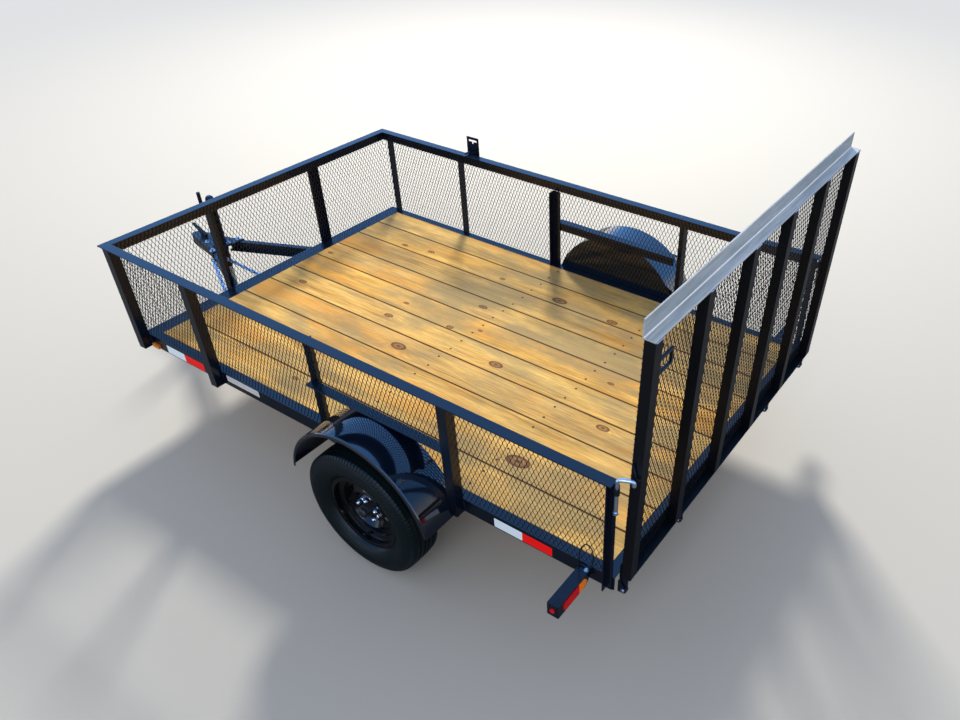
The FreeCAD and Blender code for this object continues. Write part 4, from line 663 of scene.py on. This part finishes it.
def tyre(side, way):
    """Half of the section from the crown to the bead, mirrored, with ribs, grooves and shoulder blocks."""
    half_tyre = (tyre_high.y - tyre_low.y) / 2
    crown_radius = (CROWN_EDGE ** 2 + CROWN_FALL ** 2) / (2 * CROWN_FALL)
    belly = (BEAD[1] + tyre_radius) / 2 + 0.010
    section = [(0.0, tyre_radius, "crown")]
    for number, place in enumerate(TREAD_BREAKS):
        height = tyre_radius - (crown_radius - math.sqrt(crown_radius ** 2 - place ** 2))
        kind = "groove" if number in GROOVE_BREAKS else "block" if number >= BLOCK_BREAKS else "crown"
        section.append((place, height, kind))
    crown = (CROWN_EDGE, tyre_radius - CROWN_FALL)
    shoulder = (HALF_TREAD, tyre_radius - SHOULDER_FALL)
    section += [(y, r, "block") for y, r in arc(crown, shoulder, -SHOULDER_BEND, 4)]
    wall = arc(shoulder, (half_tyre, belly), -WALL_BEND, 12)
    section += [(y, r, "block" if number < 3 else "wall") for number, (y, r) in enumerate(wall)]
    lower = arc((half_tyre, belly), (BEAD[0], FOOT_RADIUS), -LOWER_BEND, 12)
    for number, (y, r) in enumerate(lower):
        raised = 0.0016 if number in (1, 2) else 0.0012 if number in (8, 9) else 0.0
        section.append((y - 0.0016 + raised, r, "wall"))
    section.append((*BEAD, "wall"))
    full = [(-y, r, kind) for y, r, kind in reversed(section[1:])] + section
    verts = []
    for pitch in range(PITCHES):
        for part, sunk in PITCH_STEPS:
            for y, r, kind in full:
                lag = BLOCK_LAG * abs(y) / HALF_TREAD if kind == "block" else 0
                angle = 2 * math.pi * (pitch + part + lag * (1 if y > 0 else -1)) / PITCHES
                if kind == "groove":
                    r -= GROOVE_DEPTH
                if kind == "block" and sunk:
                    r -= BLOCK_DEPTH
                verts.append((wheel_x + r * math.cos(angle), wheel_y * way + y,
                              wheel_z + r * math.sin(angle)))
    count = len(full)
    turns = PITCHES * len(PITCH_STEPS)
    faces = []
    for turn in range(turns):
        after = (turn + 1) % turns
        for index in range(count - 1):
            faces.append((turn * count + index, turn * count + index + 1,
                          after * count + index + 1, after * count + index))
        faces.append((turn * count + count - 1, turn * count, after * count, after * count + count - 1))
    made = piece(f"treaded_tyre_{side}", verts, faces, tyre_rubber, f"wheel_{side}")
    made.data.shade_smooth()
    made.data.set_sharp_from_angle(angle=math.radians(38))
    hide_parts(f"tyre_{side}")


for side, way in SIDES:
    tyre(side, way)


# Wheel nuts and valve stems

BOLT_CIRCLE = 0.05715            # its radius
NUTS = 5
NUT_SEAT = 0.012                 # outward from the tyre's middle
STEM_ACROSS = 0.042
STEM_RADIUS = 0.172
for side, way in SIDES:
    nuts = Heap()
    outward = (0, way, 0)
    for number in range(NUTS):
        angle = 2 * math.pi * number / NUTS
        place = Vector((wheel_x + BOLT_CIRCLE * math.sin(angle), (wheel_y + NUT_SEAT) * way,
                        wheel_z + BOLT_CIRCLE * math.cos(angle)))
        seat = facing(outward, place)
        nuts.turned([(0, 0), (0.0150, 0.0), (0.0150, 0.003), (0.0125, 0.006), (0, 0.006)], 24, seat)
        nuts.turned([(0, 0.005), (0.0130, 0.005), (0.0130, 0.022), (0.0112, 0.025), (0, 0.025)], 6, seat)
        nuts.turned([(0, 0.024), (0.0098, 0.024), (0.0086, 0.030), (0.0050, 0.034), (0, 0.035)], 20, seat)
    nuts.make(f"wheel_nuts_{side}", chrome, f"wheel_{side}", sharp=40)
    stem = Heap()
    start = Vector((wheel_x + 0.02, (wheel_y + STEM_ACROSS) * way, wheel_z - STEM_RADIUS))
    stem.turned([(0.008, -0.004), (0.008, 0.004), (0.0055, 0.010), (0.0045, 0.026), (0.0052, 0.027),
                 (0.0052, 0.036), (0, 0.037)], 16, facing((0, way * 0.8, 0.55), start))
    stem.make(f"valve_stem_{side}", dark_rubber, f"wheel_{side}", smooth=True)


# Screws of the deck

SCREW_ROWS = [0.832, 1.616]      # ahead of the rear face
SCREW_INSET = 0.045
SCREW_STRAY = 0.004
SCREW_HEAD = [(0, -0.001), (0.0066, -0.001), (0.0066, 0.0003), (0.0056, 0.0006), (0.002, 0.0006),
              (0.0014, -0.0008), (0, -0.0008)]
screws = Heap()
random.seed(4)
for row in SCREW_ROWS:
    for board in range(BOARDS):
        for inset in (SCREW_INSET, board_pitch - BOARD_GAP - SCREW_INSET):
            x = rear_face + row + random.uniform(-SCREW_STRAY, SCREW_STRAY)
            y = boards_low.y + board_pitch * board + inset + random.uniform(-SCREW_STRAY, SCREW_STRAY)
            screws.turned(SCREW_HEAD, 12, Matrix.Translation((x, y, deck)))
screws.make("deck_screws", screw_steel, "root")


# Bolts, U-bolts and welds

SPRING_MIDDLE = half_width - 0.0328
SPRING_WIDTH = 0.045
SPRING_HALF = 0.320              # from the axle to a spring eye
PLATE_TOP = 0.416
EYE_HEIGHT = 0.448
AXLE_RADIUS = 0.030
U_ROD = 0.0055                   # radius of a U-bolt's rod
U_PLAY = 0.001
U_END = 0.022                    # a U-bolt's end above its plate
plated = Heap()
dark_bolts = Heap()
for side, way in SIDES:
    for flank in (-1, 1):
        y = (SPRING_MIDDLE + flank * (SPRING_WIDTH / 2 + U_ROD + U_PLAY)) * way
        reach = AXLE_RADIUS + U_ROD + U_PLAY
        bend = [(wheel_x + reach * math.cos(math.radians(angle)), y,
                 wheel_z + reach * math.sin(math.radians(angle))) for angle in range(0, -181, -15)]
        plated.rod([(wheel_x + reach, y, PLATE_TOP + U_END)] + bend
                   + [(wheel_x - reach, y, PLATE_TOP + U_END)], U_ROD)
        cheek = (SPRING_MIDDLE + flank * (SPRING_WIDTH / 2 + 0.0100)) * way
        for fore in (-1, 1):
            plated.bolt((wheel_x + reach * fore, y, PLATE_TOP), (0, 0, 1), 0.019)
            dark_bolts.bolt((wheel_x + SPRING_HALF * fore, cheek, EYE_HEIGHT), (0, flank * way, 0), 0.022)
jack_low, jack_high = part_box("jack_housing")
jack_x = (jack_low.x + jack_high.x) / 2
FLANGE_TOP = 0.495
FLANGE_BOLTS = 3
FLANGE_CIRCLE = 0.045            # its radius
for number in range(FLANGE_BOLTS):
    angle = math.radians(90 + 360 / FLANGE_BOLTS * number)
    plated.bolt((jack_x + FLANGE_CIRCLE * math.cos(angle), FLANGE_CIRCLE * math.sin(angle), FLANGE_TOP),
                (0, 0, 1), 0.014)
coupler_low, coupler_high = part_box("coupler")
for way in (1, -1):
    plated.bolt((coupler_low.x + 0.028, 0.105 * way, coupler_high.z), (0, 0, 1), 0.019)
    plated.bolt((jack_x + 0.105, 0.046 * way, coupler_high.z), (0, 0, 1), 0.016)

HINGE_INSET = 0.017
hinge_reach = gate_high.y - HINGE_INSET
HINGES = [hinge_reach, hinge_reach / 2, -hinge_reach / 2, -hinge_reach]
HINGE_HALF = 0.0121
PIN_HEAD = [(0, 0), (0.0095, 0), (0.0095, 0.0012), (0.0062, 0.0012), (0.0062, 0.0045), (0, 0.005)]
MARKER_SCREW = [(0, 0), (0.0032, 0), (0.0022, 0.0016), (0, 0.0018)]
for place in HINGES:
    for way in (1, -1):
        plated.turned(PIN_HEAD, 16,
                      facing((0, way, 0), gate_hinge + Vector((0, place + HINGE_HALF * way, 0))))
lamp_low, lamp_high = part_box("lamp_box_left")
for side, way in SIDES:
    plated.bolt((lamp_low.x + 0.013, (half_width + 0.014) * way, lamp_high.z), (0, 0, 1), 0.012)
    marker_low, marker_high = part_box(f"marker_lamp_{side}")
    marker_z = (marker_low.z + marker_high.z) / 2
    for x in (marker_low.x + 0.005, marker_high.x - 0.005):
        plated.turned(MARKER_SCREW, 12, facing((0, way, 0), (x, (half_width + 0.0135) * way, marker_z)))
plated.make("plated_hardware", zinc, "root", sharp=35)
dark_bolts.make("spring_bolts", gear_paint, "root", sharp=35)

POSTS = [0.796, 2.478, 3.120]    # rear edges of the posts that reach down over the rail
SKIN = 0.001                     # a bead's middle outside the faces that it joins
TONGUE_HALF = 0.385              # from the centre line to a tongue member at the frame
beads = Heap()
random.seed(11)
for side, way in SIDES:
    outward = (0, way, 0)
    for place in POSTS:
        for edge in (0.0, angle_leg):
            x = rear_face + place + edge
            step = -SKIN if edge == 0 else SKIN
            beads.weld((x + step, (half_width + SKIN) * way, rail_bottom + 0.012),
                       (x + step, (half_width + SKIN) * way, deck - 0.014), outward)
    beads.weld((lamp_low.x + 0.006, (half_width + SKIN) * way, lamp_high.z + SKIN),
               (lamp_high.x - 0.006, (half_width + SKIN) * way, lamp_high.z + SKIN), (0, way, 1))
    beads.weld((coupler_low.x + 0.004, 0.130 * way, coupler_high.z - 0.010),
               (coupler_low.x + 0.150, 0.066 * way, coupler_high.z - 0.010), outward, 0.007)
    tongue_y = TONGUE_HALF * way
    beads.weld((front_face + SKIN, tongue_y - 0.025, rail_bottom),
               (front_face + SKIN, tongue_y + 0.025, rail_bottom), (1, 0, -1))
beads.make("frame_welds", frame_paint, "root", smooth=True)

STILES = 6
GATE_LEDGE = 1.269               # foot of the top angle's ledge above the hinge line, along the gate
GATE_TOP = 1.345
GATE_REAR = GATE_FACE - GATE_LEG
stile_step = (gate_width - GATE_LEG) / (STILES - 1)
# The welds are bright chrome: partly bare weld and partly a stand-in for the glints seen at these joints.
gate_beads = Heap()
for number in range(STILES):
    left = gate_width / 2 - stile_step * number
    gate_beads.weld(on_gate(GATE_REAR - SKIN, left - 0.006, GATE_LEDGE - SKIN),
                    on_gate(GATE_REAR - SKIN, left - 0.044, GATE_LEDGE - SKIN), (-1, 0, -1), 0.008)
gate_beads.make("gate_welds", chrome, "gate", smooth=True)

# Painted highlights on the gate's top angle: glowing white rods along its upper edge, its ledge's rear edge and
# its inner corner.
EDGE = STEEL / 2 + 0.0001
INNER_EDGE = 0.0022
edge_highlights = Heap()
for along, up, radius in ((GATE_FACE - STEEL / 2, GATE_TOP - EDGE, EDGE),
                          (GATE_REAR + EDGE, GATE_LEDGE + STEEL / 2, EDGE),
                          (GATE_FACE - STEEL - 0.0012, GATE_LEDGE + STEEL + 0.0012, INNER_EDGE)):
    edge_highlights.rod([on_gate(along, way * (gate_width / 2 - 0.0005), up) for way in (-1, 1)], radius, 16)
edge_highlights.make("gate_rail_edge_highlights", edge_highlight_paint, "gate", smooth=True)


# Wiring loop beside the left lamp

LAMP_WIRE = 0.0028               # radius
LOOP = [
    # ahead of the rear face, across, up
    (0.172, 1.0075, 0.540),
    (0.170, 1.0080, 0.590),
    (0.160, 1.0090, 0.650),
    (0.134, 1.0100, 0.690),
    (0.104, 1.0095, 0.672),
    (0.098, 1.0085, 0.610),
    (0.106, 1.0080, 0.565),
    (0.124, 1.0120, 0.536),
]


def wire(name, route, radius, body):
    """A smooth insulated wire through the route's control points."""
    curve = bpy.data.curves.new(name, "CURVE")
    curve.dimensions = "3D"
    spline = curve.splines.new("NURBS")
    spline.points.add(len(route) - 1)
    for point, place in zip(spline.points, route):
        point.co = (*place, 1)
    spline.order_u = 3
    spline.use_endpoint_u = True
    curve.bevel_depth = radius
    curve.bevel_resolution = 3
    curve.use_fill_caps = True
    curve.resolution_u = 8
    source = bpy.data.objects.new(name + "_route", curve)
    mesh = bpy.data.meshes.new_from_object(source)
    mesh.name = name
    bpy.data.objects.remove(source)
    made = bpy.data.objects.new(name, mesh)
    bpy.context.scene.collection.objects.link(made)
    mesh.materials.clear()
    mesh.materials.append(dark_rubber)
    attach(made, body)


wire("lamp_wire", [(rear_face + x, y, z) for x, y, z in LOOP], LAMP_WIRE, "root")


# Tape and label on the rails

TAPES = [
    # name, rear end, front end, material
    ("rear_red", 0.310, 0.469, red_tape),
    ("rear_white", 0.469, 0.623, white_tape),
    ("front_red", 2.645, 2.813, red_tape),
    ("front_white", 2.813, 2.973, white_tape),
]
TAPE_TOP, TAPE_FOOT = 0.019, 0.071
LABEL = (2.186, 2.446)
LABEL_TOP, LABEL_FOOT = 0.006, 0.045
FILM = 0.0004
CORNER = 0.003


def sticker(name, start, end, foot, top, way, material, slot):
    """A thin film on a side rail's outer face.

    start and end lie ahead of the rear face, foot and top below the deck's upper face.
    """
    heap = Heap()
    corners = []
    for u, v, turn in ((end - CORNER, -top - CORNER, 0), (start + CORNER, -top - CORNER, 90),
                       (start + CORNER, -foot + CORNER, 180), (end - CORNER, -foot + CORNER, 270)):
        for step in range(4):
            angle = math.radians(turn + 30 * step)
            corners.append((u + CORNER * math.cos(angle), v + CORNER * math.sin(angle)))
    count = len(corners)
    inner = [(rear_face + u, half_width * way, deck + v) for u, v in corners]
    outer = [(rear_face + u, (half_width + FILM) * way, deck + v) for u, v in corners]
    sides = [(index, (index + 1) % count, (index + 1) % count + count, index + count)
             for index in range(count)]
    heap.put(inner + outer, sides + [tuple(range(count, count * 2))])
    return heap.make(name, material, "root")


for side, way in SIDES:
    for name, start, end, material in TAPES:
        sticker(f"tape_{name}_{side}", start, end, TAPE_FOOT, TAPE_TOP, way, material, "red_lens")
sticker("blank_label", *LABEL, LABEL_FOOT, LABEL_TOP, 1, label_white, "frame_paint")


# Floor, light and camera

FLOOR = (0.53, 0.525, 0.515)
DULL_FLOOR = (0.14, 0.145, 0.15)  # how reflections see the floor
DULL_HORIZON = 0.35
FLOOR_HALF = 60
EVEN_AT = 14.0                    # the floor is as pale as the backdrop from about here on
BACKDROP = (0.74, 0.745, 0.75)
SKY = (0.16, 0.42, 0.96)
ZENITH = (0.13, 0.33, 0.80)
AMBIENT = (0.47, 0.52, 0.60)
SKY_GLOSS = 1.9                   # strength of the sky in reflections
LAMPS = [
    # name, place, size, power, colour, seen in reflections
    ("key", (6.0, -10.0, 9.0), 2.6, 3100, (1.0, 0.93, 0.80), False),
    ("fill", (-5.0, 11.0, 9.0), 9.0, 420, (1.0, 0.96, 0.90), True),
]
AIM_HEIGHT = 0.6


def pale_floor():
    """A plain floor that stays even into the distance."""
    mesh = bpy.data.meshes.new("studio_floor")
    mesh.from_pydata([(-FLOOR_HALF, -FLOOR_HALF, 0), (FLOOR_HALF, -FLOOR_HALF, 0),
                      (FLOOR_HALF, FLOOR_HALF, 0), (-FLOOR_HALF, FLOOR_HALF, 0)], [], [(0, 1, 2, 3)])
    ground = bpy.data.objects.new("studio_floor", mesh)
    bpy.context.scene.collection.objects.link(ground)
    pale = Shader("studio_floor")
    x, y, _ = pale.apart(pale.place)
    square = pale.math("ADD", pale.math("MULTIPLY", x, x), pale.math("MULTIPLY", y, y))
    away = pale.math("DIVIDE", pale.math("POWER", square, 0.5), EVEN_AT)
    path = pale.add("ShaderNodeLightPath").outputs
    seen = pale.math("MULTIPLY_ADD", path["Is Glossy Ray"], DULL_HORIZON, path["Is Camera Ray"], clamp=True)
    even = pale.math("MULTIPLY", seen, pale.ramp(away, [(0.20, 0.0), (0.85, 1.0)]))
    dulled = pale.mix(path["Is Glossy Ray"], FLOOR, DULL_FLOOR)
    pale.set(Base_Color=pale.mix(even, dulled, (0.0, 0.0, 0.0)), Roughness=0.9, Specular_IOR_Level=0.1,
             Emission_Color=(*BACKDROP, 1), Emission_Strength=even)
    ground.data.materials.append(pale.material)


def sky():
    """A blue sky in reflections, a soft even light on surfaces and a plain backdrop behind the trailer."""
    world = bpy.data.worlds.new("studio")
    bpy.context.scene.world = world
    world.use_nodes = True
    air = Nodes(world.node_tree)
    height = air.apart(air.add("ShaderNodeTexCoord").outputs["Generated"])["Z"]
    path = air.add("ShaderNodeLightPath").outputs
    dome = air.ramp(height, [(0.04, BACKDROP), (0.30, SKY), (1.0, ZENITH)])
    soft = air.mix(path["Is Diffuse Ray"], dome, AMBIENT)
    background = air.tree.nodes["Background"]
    air.feed(background.inputs["Color"], air.mix(path["Is Camera Ray"], soft, BACKDROP))
    air.feed(background.inputs["Strength"],
             air.math("MULTIPLY_ADD", path["Is Glossy Ray"], SKY_GLOSS - 1, 1.0))


def lamps():
    """A warm key from the front right, which shades the left side as in the photo, and a broad fill."""
    for name, place, size, power, colour, glints in LAMPS:
        data = bpy.data.lights.new(name, "AREA")
        data.shape = "DISK"
        data.size = size
        data.energy = power
        data.color = colour
        lamp = bpy.data.objects.new(name, data)
        lamp.matrix_world = facing(Vector(place) - Vector((0, 0, AIM_HEIGHT)), Vector(place))
        bpy.context.scene.collection.objects.link(lamp)
        lamp.visible_glossy = glints


def photo_camera():
    """The camera as it was solved from the photo's straight edges; its place is beside the rear face."""
    yaw, pitch, roll = -0.9949, -0.669, 0.016
    behind, left, above = 1.0432, 2.8642, 3.1794
    ahead = Vector((math.cos(yaw) * math.cos(pitch), math.sin(yaw) * math.cos(pitch), math.sin(pitch)))
    level = Vector((math.sin(yaw), -math.cos(yaw), 0))
    top = level.cross(ahead)
    right = level * math.cos(roll) + top * math.sin(roll)
    up = top * math.cos(roll) - level * math.sin(roll)
    data = bpy.data.cameras.new("photo_camera")
    data.sensor_width = 36
    data.lens = 30.4455
    data.shift_x = -0.10744
    data.shift_y = 0.03793
    data.clip_end = 200
    camera = bpy.data.objects.new("photo_camera", data)
    camera.matrix_world = Matrix((
        (right.x, up.x, -ahead.x, rear_face - behind),
        (right.y, up.y, -ahead.y, left),
        (right.z, up.z, -ahead.z, above),
        (0, 0, 0, 1)))
    bpy.context.scene.collection.objects.link(camera)
    bpy.context.scene.camera = camera


pale_floor()
sky()
lamps()
photo_camera()
bpy.context.scene.view_settings.view_transform = "Standard"
